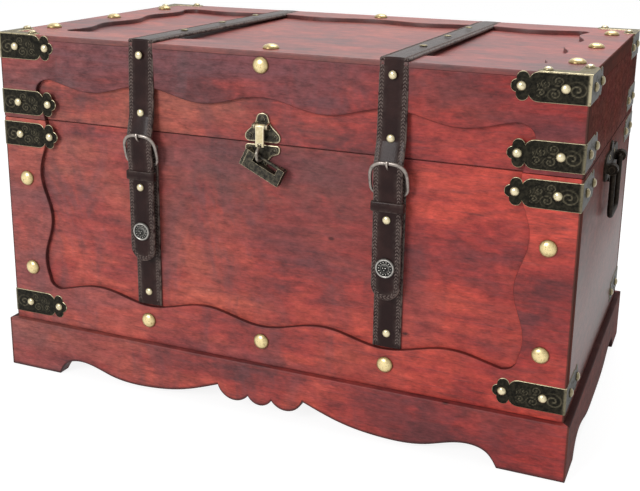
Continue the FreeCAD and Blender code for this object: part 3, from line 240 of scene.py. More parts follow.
class Paint(Tree):
    """A material under construction; set() fills the sockets of its surface."""

    def __init__(self, name):
        self.material = bpy.data.materials.new(name)
        super().__init__(self.material)
        self.surface = self.tree.nodes["Principled BSDF"]

    def set(self, **values):
        for key, value in values.items():
            self.link(self.surface, key.replace("_", " "), value)

    def places(self, scale=(1, 1, 1), shift=(0, 0, 0)):
        """Object coordinates, in metres, moved and stretched."""
        spot = self.node("ShaderNodeTexCoord", out="Object")
        return self.node("ShaderNodeMapping", None, {"Vector": spot, "Scale": scale, "Location": shift})

    def noise(self, where, scale, detail=3.0, rough=0.55, twist=0.0):
        values = {"Vector": where, "Scale": scale, "Detail": detail, "Roughness": rough,
                  "Distortion": twist}
        return self.node("ShaderNodeTexNoise", None, values, "Fac")

    def cells(self, where, scale, feature="F1"):
        values = {"Vector": where, "Scale": scale}
        return self.node("ShaderNodeTexVoronoi", {"feature": feature}, values, "Distance")

    def axis(self, letter):
        """One Object coordinate, in metres."""
        return self.node("ShaderNodeSeparateXYZ", None, {"Vector": self.places()}, letter)

    def worn(self, edge_mm=0.0):
        """The wear painted on a piece's points, zero on a piece without; edge_mm adds its sharp edges."""
        painted = self.node("ShaderNodeAttribute", {"attribute_name": "wear"}, None, "Fac")
        return painted.or_more(self.edges(edge_mm * MM)) if edge_mm else painted

    def edges(self, radius):
        """Near 1 on the sharp edges of a plain solid: how far a rounded normal leaves the true one."""
        soft = self.node("ShaderNodeBevel", {"samples": EDGE_SAMPLES}, {"Radius": radius})
        true = self.node("ShaderNodeNewGeometry", out="True Normal")
        match = self.node("ShaderNodeVectorMath", {"operation": "DOT_PRODUCT"}, {0: soft, 1: true}, "Value")
        return (1.0 - match).between(0.01, 0.22)

    def blend(self, factor, first, second, mode="MIX"):
        settings = {"data_type": "RGBA", "blend_type": mode}
        return self.node("ShaderNodeMix", settings, {0: factor, 6: first, 7: second}, 2)

    def ramp(self, value, stops):
        return self.node("ShaderNodeValToRGB", {"stops": stops}, {"Fac": value}, "Color")

    def bump(self, height, depth_mm, strength):
        values = {"Height": height, "Distance": depth_mm * MM, "Strength": strength}
        return self.node("ShaderNodeBump", None, values)


# %% [markdown]
# ## Stained wood
# The boards are cheap light wood under a transparent red stain. The stain lies unevenly: it is brighter
# where the wood drank it, and cloudy grey-brown where it was wiped off. The grain is stretched noise, long
# along the board and fine across it. Sawn edges took up more stain, so they are darker; on the frames' edge
# walls and the plinth's ledge that dark is painted shade as well. Light is painted in too: a grey haze on
# the left end, a darker and redder right end, and dark brown shade on the side boards. A clear coat gives
# the gloss. It stops at the bare sawn ends, which take the side boards' painted-shade brown, and on the side
# boards only the lower part has it.

# %% Stain colours and layers
STAIN_BRIGHT = srgb(186, 81, 66)
STAIN_MIDDLE = srgb(154, 62, 57)
STAIN_DEEP = srgb(100, 51, 52)
STAIN_CLOUD = srgb(94, 65, 68)
PAINTED_LEFT_HAZE = srgb(112, 80, 80)
STAIN_WARM = srgb(184, 100, 80)
STAIN_VIOLET = srgb(106, 68, 73)
RIGHT_END_SHADE = (0.97, 0.66, 0.68, 1.0)
DARK_STAIN_AND_SHADE = srgb(46, 20, 20)
UPPER_MIDDLE_DARK = srgb(88, 58, 58)
SIDE_SHADE_BROWN = srgb(80, 60, 54)
TONES = [(0.395, STAIN_DEEP), (0.48, STAIN_MIDDLE), (0.568, STAIN_BRIGHT)]
SPECKLES = [(0.33, grey(0.5)), (0.67, grey(1.48))]
BOARD_END_M = 0.2983
PLINTH_END_M = 0.3043
END_SOFT_M = 0.0006
EDGE_MM = 1.6
# Each layer of noise: stretch along the grain, scale, detail, roughness and distortion
WOOD_LAYERS = {
    "clouds": (0.4, 12.0, 4.0, 0.5, 0.5),
    "streaks": (0.1, 70.0, 5.0, 0.65, 0.4),
    "fine": (0.07, 330.0, 4.0, 0.7, 0.2),
    "blotches": (0.6, 40.0, 5.0, 0.65, 0.6),
    "speckle": (0.28, 620.0, 3.0, 0.7, 0.0),
    "mottle": (0.45, 150.0, 3.0, 0.6, 0.0),
    "warm": (0.35, 10.0, 4.0, 0.55, 0.5),
    "bands": (0.13, 24.0, 4.0, 0.5, 0.35),
    "figure": (0.16, 6.0, 2.0, 0.4, 0.4),
    "fibres": (0.08, 190.0, 4.0, 0.62, 0.3),
}
print(len(WOOD_LAYERS), "layers of noise in the wood")

# %% [markdown]
# The recipe first turns the large clouds and streaks into red tones. Thin coats then go over them: warm,
# violet and wiped patches, the painted shade and haze, a darker upper middle, dark grain lines, knots,
# speckles, and edges darkened by stain and painted shade.

# %% The stain's recipe
def stained_wood(name, grain, shift, cloudiness=0.5, brown=0.0, varnish=0.6, matt=0.5, lift=0.0,
                 left_haze=0.0, upper_middle_dark=0.0, end=BOARD_END_M, low_coat=False, edge_mm=0.0):
    """Wood with its grain along axis 0, 1 or 2, and the stain's own layout on that board.

    brown blends in a dull brown, which on the side boards is painted shade and on the top and inside a
    duller tone, varnish is the clear coat and matt its roughness, lift brightens the stain, left_haze greys
    the left end as a painted haze of the lamp at the left, upper_middle_dark darkens the middle of the front
    towards the lid's edge, end is where a board's sawn and bare end starts, after which it takes the side
    boards' painted-shade brown, low_coat keeps the coat to the lower part of a side board, and edge_mm
    darkens sharp edges.
    """
    paint = Paint(name)

    def stretched(share, axis=grain):
        scale = [1.0, 1.0, 1.0]
        scale[axis] = share
        return paint.places(scale, shift)

    def coat(factor, stain, mode="MIX"):
        nonlocal colour
        colour = paint.blend(factor, colour, stain, mode)

    layers = [paint.noise(stretched(share), *rest) for share, *rest in WOOD_LAYERS.values()]
    clouds, streaks, fine, blotches, speckle, mottle, warm, bands, figure, fibres = layers
    wiped = paint.noise(stretched(0.35, 2), 19.0, 6.0, 0.62, 0.7)
    x, z = paint.axis("X"), paint.axis("Z")
    off_centre = x.math("ABSOLUTE", x)
    tone = clouds * 0.42 + streaks * 0.2 + blotches * 0.3 + fine * 0.08 + lift
    colour = paint.ramp(tone, TONES)
    uneven = 1.0 - 0.55 * x.between(-0.05, 0.22)
    coat(warm.between(0.48, 0.68) * uneven * 0.55, STAIN_WARM)
    coat(bands.between(0.5, 0.66) * uneven * cloudiness, STAIN_VIOLET)
    coat(wiped.between(0.47, 0.66) * uneven * cloudiness, STAIN_CLOUD)
    # Painted shade: the right end is made darker and redder, lying away from the lamp's haze.
    coat(x.between(-0.02, 0.26) * 0.9, RIGHT_END_SHADE, "MULTIPLY")
    # Darker in the middle of the front towards the lid's edge, broken up by the blotches.
    if upper_middle_dark:
        middle = 1.0 - off_centre.between(0.07, 0.17)
        coat(middle * z.between(0.16, 0.23) * blotches.between(0.25, 0.6) * upper_middle_dark, UPPER_MIDDLE_DARK)
    # Painted haze: the left end is greyed towards a dull pink, as by the lamp at the left.
    if left_haze:
        coat((1.0 - x.between(-0.32, 0.06)) * blotches.between(0.3, 0.6) * left_haze, PAINTED_LEFT_HAZE)
    # Dull brown: painted shade on the side boards, a duller tone on the top and inside.
    if brown:
        coat(brown, SIDE_SHADE_BROWN)
    rings = figure.math("PINGPONG", figure * 16.0, 0.5)
    coat((1.0 - rings.between(0.0, 0.13)) * streaks.between(0.42, 0.6) * 0.34, STAIN_DEEP)
    coat(fibres.between(0.5, 0.68) * 0.32, STAIN_DEEP)
    coat(fine.between(0.52, 0.68) * 0.5, STAIN_DEEP)
    knots = (1.0 - paint.cells(stretched(0.5), 24.0).between(0.02, 0.06)) * blotches.between(0.5, 0.56)
    coat(knots * 0.8, DARK_STAIN_AND_SHADE)
    coat(0.9, paint.ramp(speckle * 0.45 + mottle * 0.55, SPECKLES), "MULTIPLY")
    # Dark edges: stain taken up by sawn edges, and painted shade where the frames' edge walls and the
    # plinth's ledge are marked.
    coat(paint.worn(edge_mm) * blotches.between(0.2, 0.5) * 0.9, DARK_STAIN_AND_SHADE)
    if low_coat:
        coated = 1.0 - (z + clouds * 0.1).between(0.17, 0.37)
    else:
        coated = 1.0 - off_centre.between(end - END_SOFT_M, end + END_SOFT_M)
        # The bare ends take the side boards' painted-shade brown.
        coat((1.0 - coated) * 0.8, SIDE_SHADE_BROWN)
    relief = fine * 0.5 + streaks * 0.2 + speckle * 0.3
    paint.set(Base_Color=colour, Roughness=0.45 + 0.16 * blotches, Normal=paint.bump(relief, 0.35, 0.8))
    paint.set(Specular_IOR_Level=0.0, Coat_Weight=coated * varnish, Coat_Roughness=matt)
    return paint.material


# %% [markdown]
# Each kind of board has its own shift into the noise, so that neighbours don't share their clouds.

# %% Wood finishes
wood_front = stained_wood("stained_wood_front", 0, (0.3, 0.1, 0.2), 0.6, lift=0.01, left_haze=0.2,
                          upper_middle_dark=0.75, edge_mm=EDGE_MM)
wood_lid_front = stained_wood("stained_wood_lid_front", 0, (8.1, 2.4, 3.3), 0.45, lift=-0.045,
                              edge_mm=EDGE_MM)
wood_frame = stained_wood("stained_wood_frame", 0, (2.7, 1.4, 0.9), lift=0.02, left_haze=0.25)
wood_lid_frame = stained_wood("stained_wood_lid_frame", 0, (3.9, 5.2, 2.9), 0.8, varnish=0.44, lift=-0.07,
                              left_haze=0.5)
wood_top = stained_wood("stained_wood_top", 0, (5.1, 0.7, 2.2), 0.4, 0.3, 1.0, 0.42)
# The side boards are a shaded copy of the stain: brown at 0.82 here and 0.78 on the plinth's sides is
# painted shade.
wood_side = stained_wood("stained_wood_side", 1, (1.9, 3.3, 4.1), 0.8, 0.82, 0.6, 0.3, low_coat=True,
                         edge_mm=EDGE_MM)
wood_plinth = stained_wood("stained_wood_plinth", 0, (7.2, 2.6, 0.4), 0.45, lift=-0.03, left_haze=0.45,
                           end=PLINTH_END_M)
wood_plinth_side = stained_wood("stained_wood_plinth_side", 1, (4.4, 8.6, 1.4), 0.7, 0.78, 0.12, 0.3,
                                low_coat=True)
wood_inside = stained_wood("stained_wood_inside", 0, (9.3, 6.1, 5.5), 0.9, 0.35, 0.4, 0.65)
print("wood finishes made")

# %% [markdown]
# ## Leather and thread
# The straps are dark brown artificial leather: a fine pebbled grain, a slight polish, and paler edges,
# partly scuffed and partly painted glints of the rolled edges and the ridges between the seams. The thread
# of the seams is a dull grey-brown.

# %% Leather finishes
LEATHER_DARK = srgb(34, 18, 17)
LEATHER_LIGHT = srgb(54, 33, 30)
LEATHER_SCUFF_AND_GLINT = srgb(128, 114, 106)
LEATHER_SHEEN = srgb(214, 204, 198)
THREAD_DARK = srgb(64, 50, 46)
THREAD_LIGHT = srgb(118, 102, 95)

paint = Paint("strap_leather")
plain = paint.places()
pebble = paint.cells(plain, 700.0, "SMOOTH_F1")
crease = paint.noise(plain, 160.0, 4.0, 0.6, 0.5)
patches = paint.noise(plain, 38.0)
colour = paint.blend(patches.between(0.42, 0.7) * 0.6, LEATHER_DARK, LEATHER_LIGHT)
# Paler where the strap is marked worn: scuffing, and painted glints on its rolled edges and ridges.
colour = paint.blend(paint.worn() * crease.between(0.35, 0.6) * 0.7, colour, LEATHER_SCUFF_AND_GLINT)
relief = pebble * 0.6 + crease * 0.6
paint.set(Base_Color=colour, Roughness=0.3 + 0.2 * crease, Normal=paint.bump(relief, 0.4, 0.9))
paint.set(Specular_IOR_Level=0.08, Coat_Weight=0.12, Coat_Roughness=0.18)
paint.set(Sheen_Weight=0.3, Sheen_Roughness=0.25, Sheen_Tint=LEATHER_SHEEN)
strap_leather = paint.material

paint = Paint("seam_thread")
ply = paint.noise(paint.places(), 700.0, 2.0)
paint.set(Base_Color=paint.blend(ply.between(0.3, 0.7), THREAD_DARK, THREAD_LIGHT), Roughness=0.7)
seam_thread = paint.material
print("leather finishes made")

# %% [markdown]
# ## Bronze, brass and pewter
# The brackets and the lock are thin stamped metal with an antique finish: nearly black-green in the hollows
# and rubbed back to pale brass on raised lines and edges. The nails are plain brass that has dulled.

# %% Metal finishes
BARE_METAL = 0.95


def antique(name, dark, pale, rough, edge_mm=0.0, rub=1.0, mottle=0.18, grit=1.0, sheen=1.0, metal=0.6):
    """Dark patina that is rubbed through to pale metal where the piece is worn or has a sharp edge."""
    dark, pale = srgb(*dark), srgb(*pale)
    paint = Paint(name)
    plain = paint.places()
    tarnish = paint.noise(plain, 330.0, 5.0, 0.65, 0.3)
    specks = paint.noise(plain, 1100.0, 3.0, 0.6)
    rubbed = paint.worn(edge_mm) * tarnish.between(0.2, 0.5) * rub
    mottled = paint.blend(tarnish.between(0.35, 0.75) * mottle, dark, pale)
    colour = paint.blend(specks.between(0.55, 0.75) * (0.5 * grit), mottled, dark)
    paint.set(Base_Color=paint.blend(rubbed, colour, pale), Metallic=metal + (BARE_METAL - metal) * rubbed)
    paint.set(Roughness=rough + 0.2 * tarnish - 0.12 * rubbed)
    paint.set(Normal=paint.bump(tarnish * 0.5 + specks * 0.5, 0.12 * grit, 0.5))
    paint.set(Specular_IOR_Level=0.5 * sheen, Specular_Tint=grey(sheen))
    return paint.material


bracket_bronze = antique("bracket_bronze", (19, 18, 14), (198, 186, 152), 0.32, mottle=0.05, sheen=0.35,
                         metal=0.15)
lock_bronze = antique("lock_bronze", (25, 22, 17), (210, 196, 164), 0.4, 0.7, mottle=0.14)
handle_bronze = antique("handle_bronze", (30, 26, 23), (112, 98, 80), 0.42, 0.8, 0.6, sheen=0.5)
nail_brass = antique("nail_brass", (120, 94, 50), (236, 216, 162), 0.26, mottle=0.25, grit=0.25)
stud_brass = antique("stud_brass", (104, 92, 62), (230, 217, 180), 0.24, mottle=0.25, grit=0.25)
# The tongue is pale all over: polished brass, with a painted highlight of the light from above.
tongue_brass = antique("tongue_brass", (196, 180, 136), (246, 236, 206), 0.3, 0.5, mottle=0.5)
buckle_pewter = antique("buckle_pewter", (52, 45, 42), (188, 177, 168), 0.26, mottle=0.3, grit=0.5)
cap_gunmetal = antique("cap_gunmetal", (18, 17, 16), (216, 212, 204), 0.26, mottle=0.06, sheen=0.5,
                       metal=0.3)
loop_steel = antique("loop_steel", (120, 112, 100), (236, 228, 214), 0.25, 0.4, mottle=0.5)
print("metal finishes made")

# %% [markdown]
# ## The carried-over pieces
# The flat panels, the lock, the handles and the hinges are right as they come from the CAD model. They only
# need their finish, with the grain running along each board.

# %% Finishes of the carried-over pieces
KEPT_NODES = (
    (wood_front, ("body_front_panel", "body_back_panel")),
    (wood_lid_front, ("lid_front_panel", "lid_back_panel")),
    (wood_top, ("lid_top_panel",)),
    (wood_side, ("body_left_panel", "body_right_panel", "lid_left_panel", "lid_right_panel")),
    (wood_inside, ("body_bottom_panel", "plinth_corner_blocks")),
    (lock_bronze, ("hasp_pin", "padlock_body", "padlock_shackle", "body_screws", "lid_screws")),
    (loop_steel, ("staple_loop",)),
    (cap_gunmetal, ("snap_studs",)),
    (handle_bronze, ("handle_plate_left", "handle_plate_right", "handle_bail_left", "handle_bail_right",
                     "hinge_body_leaves", "hinge_lid_leaves", "hinge_pins", "stay_lid_arm",
                     "stay_body_arm")),
)
for finish, names in KEPT_NODES:
    for name in names:
        slots = nodes[name].data.materials
        slots.clear()
        slots.append(finish)
print(sum(len(names) for finish, names in KEPT_NODES), "nodes keep their CAD shape")

# %% [markdown]
# ## Wavy frames
# The front, the lid's front and its top each carry a thin frame whose inner edge is sawn to a wave. The
# wave is a cosine; the corners are quarter ellipses. The frame's section, a flat board with two rounded
# edges, is carried along the inner edge, and its other side follows the straight outer edge.

# %% Frame outlines
HALF_W = 300.0
HALF_D = 177.5
LID_TOP = 370.0
SEAM = 282.0
SEAM_HALF_GAP = 0.4
PLINTH_TOP = 56.0
OVERLAY = 5.0
WAVE_RISE = 5.5
RAIL_PITCH = 128.0
STILE_PITCH = 96.0
STILE_MEAN = 252.5
STILE_CREST = 176.0
BODY_RAIL_MEAN = 101.0
LID_RAIL_MEAN = 321.0
TOP_RAIL_MEAN = 129.5
INNER_CORNER = 12.0
CORNER_STEPS = 9
STILE_STEPS = 40
RAIL_STEPS = 160
EDGE_ROUND = 0.9
EDGE_STEPS = 5
FACE_START = 1.0
MIRROR = np.array([-1.0, 1.0])


def wave_line(mean, rise, pitch, crest=0.0):
    """Distance of a wavy edge from the middle: a cosine wave about its mean, with a crest at one place."""
    return lambda place: mean + rise * np.cos(2 * np.pi * (place - crest) / pitch)


def corner_run(stile_end, rail_end, outer_corner):
    """Quarter ellipse from the stile's end to the rail's, and the way round the outer corner beside it."""
    share = np.linspace(0, 1, CORNER_STEPS)[1:-1, None]
    turn = share * QUARTER
    stile_end, rail_end, corner = np.array(stile_end), np.array(rail_end), np.array(outer_corner)
    centre = np.array([rail_end[0], stile_end[1]])
    inner = centre + (stile_end - centre) * np.cos(turn) + (rail_end - centre) * np.sin(turn)
    start = np.array([corner[0], stile_end[1]])
    stop = np.array([rail_end[0], corner[1]])
    outer = start + (corner - start) * np.minimum(share * 2, 1)
    return inner, outer + (stop - corner) * np.maximum(share * 2 - 1, 0)


def u_outline(stile, rail, open_edge, rail_edge, last=None):
    """Inner and outer points of two stiles and a rail, open along one edge; last=0 omits the last point."""
    rail_x = STILE_MEAN - INNER_CORNER
    rail_end = (-rail_x, rail(rail_x))
    stile_stop = rail_end[1] + np.sign(open_edge - rail_edge) * INNER_CORNER
    heights = np.linspace(open_edge, stile_stop, STILE_STEPS)
    inner = points_of(-stile(heights), heights)
    turn_inner, turn_outer = corner_run(inner[-1], rail_end, (-HALF_W, rail_edge))
    inner = np.concatenate([inner, turn_inner])
    outer = np.concatenate([points_of(-HALF_W, heights), turn_outer])
    xs = np.linspace(-rail_x, rail_x, RAIL_STEPS)
    inner = np.concatenate([inner, points_of(xs, rail(xs)), inner[:last:-1] * MIRROR])
    outer = np.concatenate([outer, points_of(xs, rail_edge), outer[:last:-1] * MIRROR])
    return inner, outer


def board_along(inner, outer, lift, closed=False, outer_wear=1.0):
    """Board between two outlines: back edge, rounded outer edge, face, rounded inner edge, back edge."""
    across = unit(inner - outer)[:, None]
    turn = np.linspace(0, QUARTER, EDGE_STEPS)
    inset = np.concatenate([[0.0], EDGE_ROUND * (1 - np.cos(turn)), [EDGE_ROUND + FACE_START]])
    depth = np.concatenate([[0.0], OVERLAY - EDGE_ROUND + EDGE_ROUND * np.sin(turn), [OVERLAY]])
    # Darkened edges: stain taken up by the sawn edge, and painted shade for the shadow line along the wave.
    worn = np.concatenate([[0.8], np.linspace(0.9, 0.1, EDGE_STEPS), [0.0]])
    near = outer[:, None] + across * inset[None, :, None]
    far = inner[:, None] - across * inset[None, ::-1, None]
    plane = np.concatenate([near, far], axis=1)
    depths = np.concatenate([depth, depth[::-1]])
    wear = np.concatenate([worn * outer_wear, worn[::-1]])
    return shell(lift(plane[..., 0], plane[..., 1], depths), wear, wrap_rows=closed)


def on_front(x, z, depth):
    return points_of(x, -HALF_D + OVERLAY - depth, z)


def on_top(x, y, depth):
    return points_of(x, y, LID_TOP - OVERLAY + depth)


# %% [markdown]
# Each frame is now two waves, one for its stiles and one for its rails. The lid's top has a rail at the
# front and one at the back, so half of its outline is turned round to close it.

# %% The three frames
TOP_EDGE_WEAR = 0.55
front_stile = wave_line(STILE_MEAN, -WAVE_RISE, STILE_PITCH, STILE_CREST)
body_rail = wave_line(BODY_RAIL_MEAN, -WAVE_RISE, RAIL_PITCH)
lid_rail = wave_line(LID_RAIL_MEAN, WAVE_RISE, RAIL_PITCH)
top_stile = wave_line(STILE_MEAN, -WAVE_RISE, STILE_PITCH)
top_rail = wave_line(-TOP_RAIL_MEAN, -WAVE_RISE, RAIL_PITCH)
lines = u_outline(front_stile, body_rail, SEAM - SEAM_HALF_GAP, PLINTH_TOP)
make_piece("front_frame", [board_along(*lines, on_front)], "chest", wood_frame,
           ["body_front_overlay"])
lines = u_outline(front_stile, lid_rail, SEAM + SEAM_HALF_GAP, LID_TOP - OVERLAY)
make_piece("lid_front_frame", [board_along(*lines, on_front)], "lid", wood_lid_frame,
           ["lid_front_overlay"])
lines = [np.concatenate([half, -half]) for half in u_outline(top_stile, top_rail, 0.0, -HALF_D, 0)]
make_piece("lid_top_frame", [board_along(*lines, on_top, True, TOP_EDGE_WEAR)], "lid", wood_top,
           ["lid_top_overlay"])

# %% [markdown]
# ## Plinth boards
# The plinth's lower edge is sawn to a long double curve with three small lobes in the middle. A spline runs
# through the few points that give the curve its look. The board's section is then carried along the curve,
# and its ends are cut at 45 degrees so that the four boards meet at the corners.

# %% Plinth outlines
PLINTH_HALF_W = 306.0
PLINTH_HALF_D = 183.5
PLINTH_THICK = 15.0
FRONT_FOOT_END = 243.0
SIDE_FOOT_END = 140.5
CUSP = (47.0, 26.0)
LOBE = (13.0, 20.0)
LOBE_LOW = 12.2
FRONT_DIP = [(0.051, 13.5), (0.143, 18.5), (0.347, 9.0), (0.577, 6.0), (0.781, 11.5)]
SIDE_DIP = [(0.071, 13.5), (0.199, 18.5), (0.55, 9.5), (1.0, 6.0)]
FOOT_ROUND = 1.5
TOP_ROUND = 1.2
FOOT_BAND = 4.0
TOP_BAND = 3.0
FRONT_LEDGE_SHADE = 0.25
SIDE_LEDGE_SHADE = 0.9


def smooth_curve(points, steps):
    """Natural cubic spline through the points, over the length of their chords."""
    points = np.array(points, float)
    t = np.concatenate([[0], np.cumsum(np.linalg.norm(np.diff(points, axis=0), axis=1))])
    h = np.diff(t)
    count = len(t)
    system = np.eye(count)
    inside = np.arange(1, count - 1)
    system[inside, inside - 1] = h[:-1]
    system[inside, inside] = 2 * (h[:-1] + h[1:])
    system[inside, inside + 1] = h[1:]
    slopes = np.diff(points, axis=0) / h[:, None]
    right = np.zeros_like(points)
    right[1:-1] = 6 * np.diff(slopes, axis=0)
    bend = np.linalg.solve(system, right)
    s = np.linspace(0, t[-1], steps)
    k = np.clip(np.searchsorted(t, s, side="right") - 1, 0, count - 2)
    a = ((t[k + 1] - s) / h[k])[:, None]
    b = ((s - t[k]) / h[k])[:, None]
    span = (h[k] ** 2)[:, None] / 6
    return a * points[k] + b * points[k + 1] + ((a ** 3 - a) * bend[k] + (b ** 3 - b) * bend[k + 1]) * span


def arc_through(a, m, b, steps):
    """Circular arc through three points of a plane."""
    a, m, b = (complex(*p) for p in (a, m, b))
    w = (b - a) / (m - a)
    centre = (m - a) * (w - abs(w) ** 2) / (2j * w.imag) + a
    turn = np.angle((b - centre) / (a - centre))
    z = centre + (a - centre) * np.exp(1j * turn * np.linspace(0, 1, steps))
    return points_of(z.real, z.imag)


def plinth_board(lower, foot_end, half, out, ledge, spin):
    """Section of a plinth board carried along its sawn lower edge, then turned to its side of the chest."""
    turn = np.linspace(0, QUARTER, 4)
    y = np.concatenate([FOOT_ROUND * (1 - np.sin(turn)), [0.0, 0.0], TOP_ROUND * (1 - np.cos(turn)),
                        [PLINTH_THICK, PLINTH_THICK]])
    rise = np.concatenate([FOOT_ROUND * (1 - np.cos(turn)), [FOOT_BAND], np.zeros(7)])
    low = np.concatenate([np.ones(5), np.zeros(6), [1.0]])
    drop = np.concatenate([np.zeros(5), [TOP_ROUND + TOP_BAND], TOP_ROUND * (1 - np.sin(turn)), [0.0, 0.0]])
    x, z = lower[:, :1], lower[:, 1:]
    past = np.clip((np.abs(x) - foot_end) / (half - foot_end), 0, 1)
    mitred = np.sign(x) * (foot_end + past * (half - y - foot_end))
    wide = np.where(np.abs(x) > foot_end, mitred, x)
    heights = low * (z + rise) + (1 - low) * (PLINTH_TOP - drop)
    depths = y - out
    # Painted shade on the ledge where the body meets the plinth, heavier on the sides.
    wear = np.concatenate([np.ones(4), [0.0, 0.0], np.full(5, ledge), [0.5]])
    cos, sin = math.cos(spin), math.sin(spin)
    return shell(points_of(wide * cos - depths * sin, wide * sin + depths * cos, heights), wear)


# %% [markdown]
# The front's lower edge is half a curve and its mirror image, with the lobes as arcs between the cusps. The
# sides have the plain curve only.

# %% The four boards
FOOT_STEPS = 6
LOBE_STEPS = 14


def foot_run(half, foot_end):
    return points_of(np.linspace(half, foot_end, FOOT_STEPS), 0.0)[:-1]


span = FRONT_FOOT_END - CUSP[0]
dip = [(FRONT_FOOT_END, 0.0)] + [(FRONT_FOOT_END - s * span, z) for s, z in FRONT_DIP] + [CUSP]
side_lobe = arc_through(CUSP, ((CUSP[0] + LOBE[0]) / 2, LOBE_LOW), LOBE, LOBE_STEPS)
middle_lobe = arc_through(LOBE, (0.0, LOBE_LOW), (-LOBE[0], LOBE[1]), LOBE_STEPS)
right = np.concatenate([foot_run(PLINTH_HALF_W, FRONT_FOOT_END), smooth_curve(dip, 90), side_lobe[1:]])
front_edge = np.concatenate([right, middle_lobe[1:-1], right[::-1] * MIRROR])
half_dip = [(SIDE_FOOT_END, 0.0)] + [(SIDE_FOOT_END * (1 - s), z) for s, z in SIDE_DIP]
full_dip = half_dip + [(-x, z) for x, z in half_dip[-2::-1]]
foot = foot_run(PLINTH_HALF_D, SIDE_FOOT_END)
side_edge = np.concatenate([foot, smooth_curve(full_dip, 120), foot[::-1] * MIRROR])
for quarter, word in enumerate(("front", "right", "back", "left")):
    spin = quarter * math.pi / 2
    if quarter % 2:
        sizes = (side_edge, SIDE_FOOT_END, PLINTH_HALF_D, PLINTH_HALF_W, SIDE_LEDGE_SHADE)
    else:
        sizes = (front_edge, FRONT_FOOT_END, PLINTH_HALF_W, PLINTH_HALF_D, FRONT_LEDGE_SHADE)
    board = plinth_board(*sizes, spin)
    finish = wood_plinth_side if quarter % 2 else wood_plinth
    make_piece("plinth_board_" + word, [board], "chest", finish, ["plinth_" + word])

# %% [markdown]
# ## Corner brackets
# Each bracket is one strip of stamped sheet bent round a vertical corner, with a three-lobed leaf at both
# ends. Its outline is a width for each place along the strip. The stamped scrolls are a height: spirals
# round a few centres, a raised border, and wear wherever the sheet stands proud.

# %% The stamped strip
BRACKET_HALF = 13.0
BRACKET_SHEET = 1.0
SOFT_CREASE = 50.0
SHOULDER = 42.0
NECK = 51.0
NECK_HALF = 5.0
LEAF = (56.0, 7.3, 5.5)
TIP = (60.3, 6.0)
REACH = TIP[0] + TIP[1]
LEAST_HALF = 0.02
STRIP_RUNS = ((0, 40, 58), (40.5, 50.4, 20), (50.6, 61.4, 27), (61.6, REACH, 13))
STRIP_COLUMNS = 39
SCROLLS = ((10.5, -1.0, 8.6), (26.5, 6.0, 5.2), (29.0, -5.2, 6.0), (36.5, 3.0, 4.6), (40.5, -4.6, 5.0),
           (44.5, 1.5, 3.6))
SCROLL_DEPTH = 0.3
SCROLL_TURNS = 11.0
RIM_ROUND = 0.8
RIM_BORDER = 1.8
SCROLL_SQUASH = 1.2
END_STEEP = 1.2


def strip_half_width(u):
    """Half the strip's height: straight, then a rounded shoulder, two side lobes and a tip lobe."""
    shoulder = np.clip((u - SHOULDER) / (NECK - SHOULDER), 0, 1)
    strap = NECK_HALF + (BRACKET_HALF - NECK_HALF) * np.sqrt(1 - shoulder ** 2)
    strap = np.where(u < NECK, strap, 0.0)
    side = LEAF[2] ** 2 - (u - LEAF[0]) ** 2
    lobe = np.where(side > 0, LEAF[1] + np.sqrt(np.maximum(side, 0)), 0.0)
    tip = np.where(u > LEAF[0], np.sqrt(np.maximum(TIP[1] ** 2 - (u - TIP[0]) ** 2, 0)), 0.0)
    return np.maximum(np.maximum(strap, lobe), tip)


def stamped_height(u, v, rim):
    """Height of the stamped face: a rounded rim, and thin ridges that spiral out of their centres."""
    edge = np.sqrt(np.clip(1 - (1 - np.clip(rim / RIM_ROUND, 0, 1)) ** 2, 0, 1))
    relief = np.zeros_like(u)
    for k, (cu, cv, size) in enumerate(SCROLLS):
        r = np.hypot(u - cu, (v - cv) * SCROLL_SQUASH)
        wind = 1 if k % 2 else -1
        spiral = np.cos(SCROLL_TURNS * r / size - wind * np.arctan2(v - cv, u - cu) + k)
        relief = relief + np.clip(spiral, 0, 1) ** 4 * np.exp(-(r / size) ** 6)
    inside = np.clip(rim - RIM_BORDER, 0, 1) * (u < SHOULDER + 2)
    relief = np.clip(relief, 0, 1) * inside
    wear = np.clip(0.22 * relief + 0.9 * (rim < 0.6), 0, 1)
    return edge * (BRACKET_SHEET - SCROLL_DEPTH) + relief * SCROLL_DEPTH, wear


def stamped_strip(u, wide, columns, end=np.inf):
    """Places across a strip that is wide at each place along it, and its height and wear there."""
    wide = np.maximum(wide, LEAST_HALF)[:, None]
    v = wide * np.sin(np.linspace(-QUARTER, QUARTER, columns))
    u = np.broadcast_to(u[:, None], v.shape)
    rim = np.minimum(wide - np.abs(v), (end - u) * END_STEEP)
    return v, *stamped_height(u, v, rim)


def backed(face, back, wear):
    """Shell of a stamped face and the two edges of its unworn back."""
    return shell(np.concatenate([face, back], axis=1), np.pad(wear, ((0, 0), (0, 2))))


half_u = np.concatenate([np.linspace(*run) for run in STRIP_RUNS])
halves = stamped_strip(half_u, strip_half_width(half_u), STRIP_COLUMNS, REACH)
strip_u = np.concatenate([-half_u[::-1], half_u[1:]])
strip_v, strip_h, strip_wear = (np.concatenate([half[::-1], half[1:]]) for half in halves)
print("bracket strip of", strip_v.shape, "points")

# %% [markdown]
# The flat strip is then laid round each corner of the chest. Where it bends, the sheet is rubbed most; the
# legs on the sides get less of the pale rub than those in front, as painted shade on the chest's sides.

# %% The bent brackets
BEND = 0.8
BEND_WEAR = 0.35
BEND_SPREAD = 1.4
# Painted shade: the side legs keep less of the pale rub.
SHADED_SIDE_LEG_RUB = 0.35


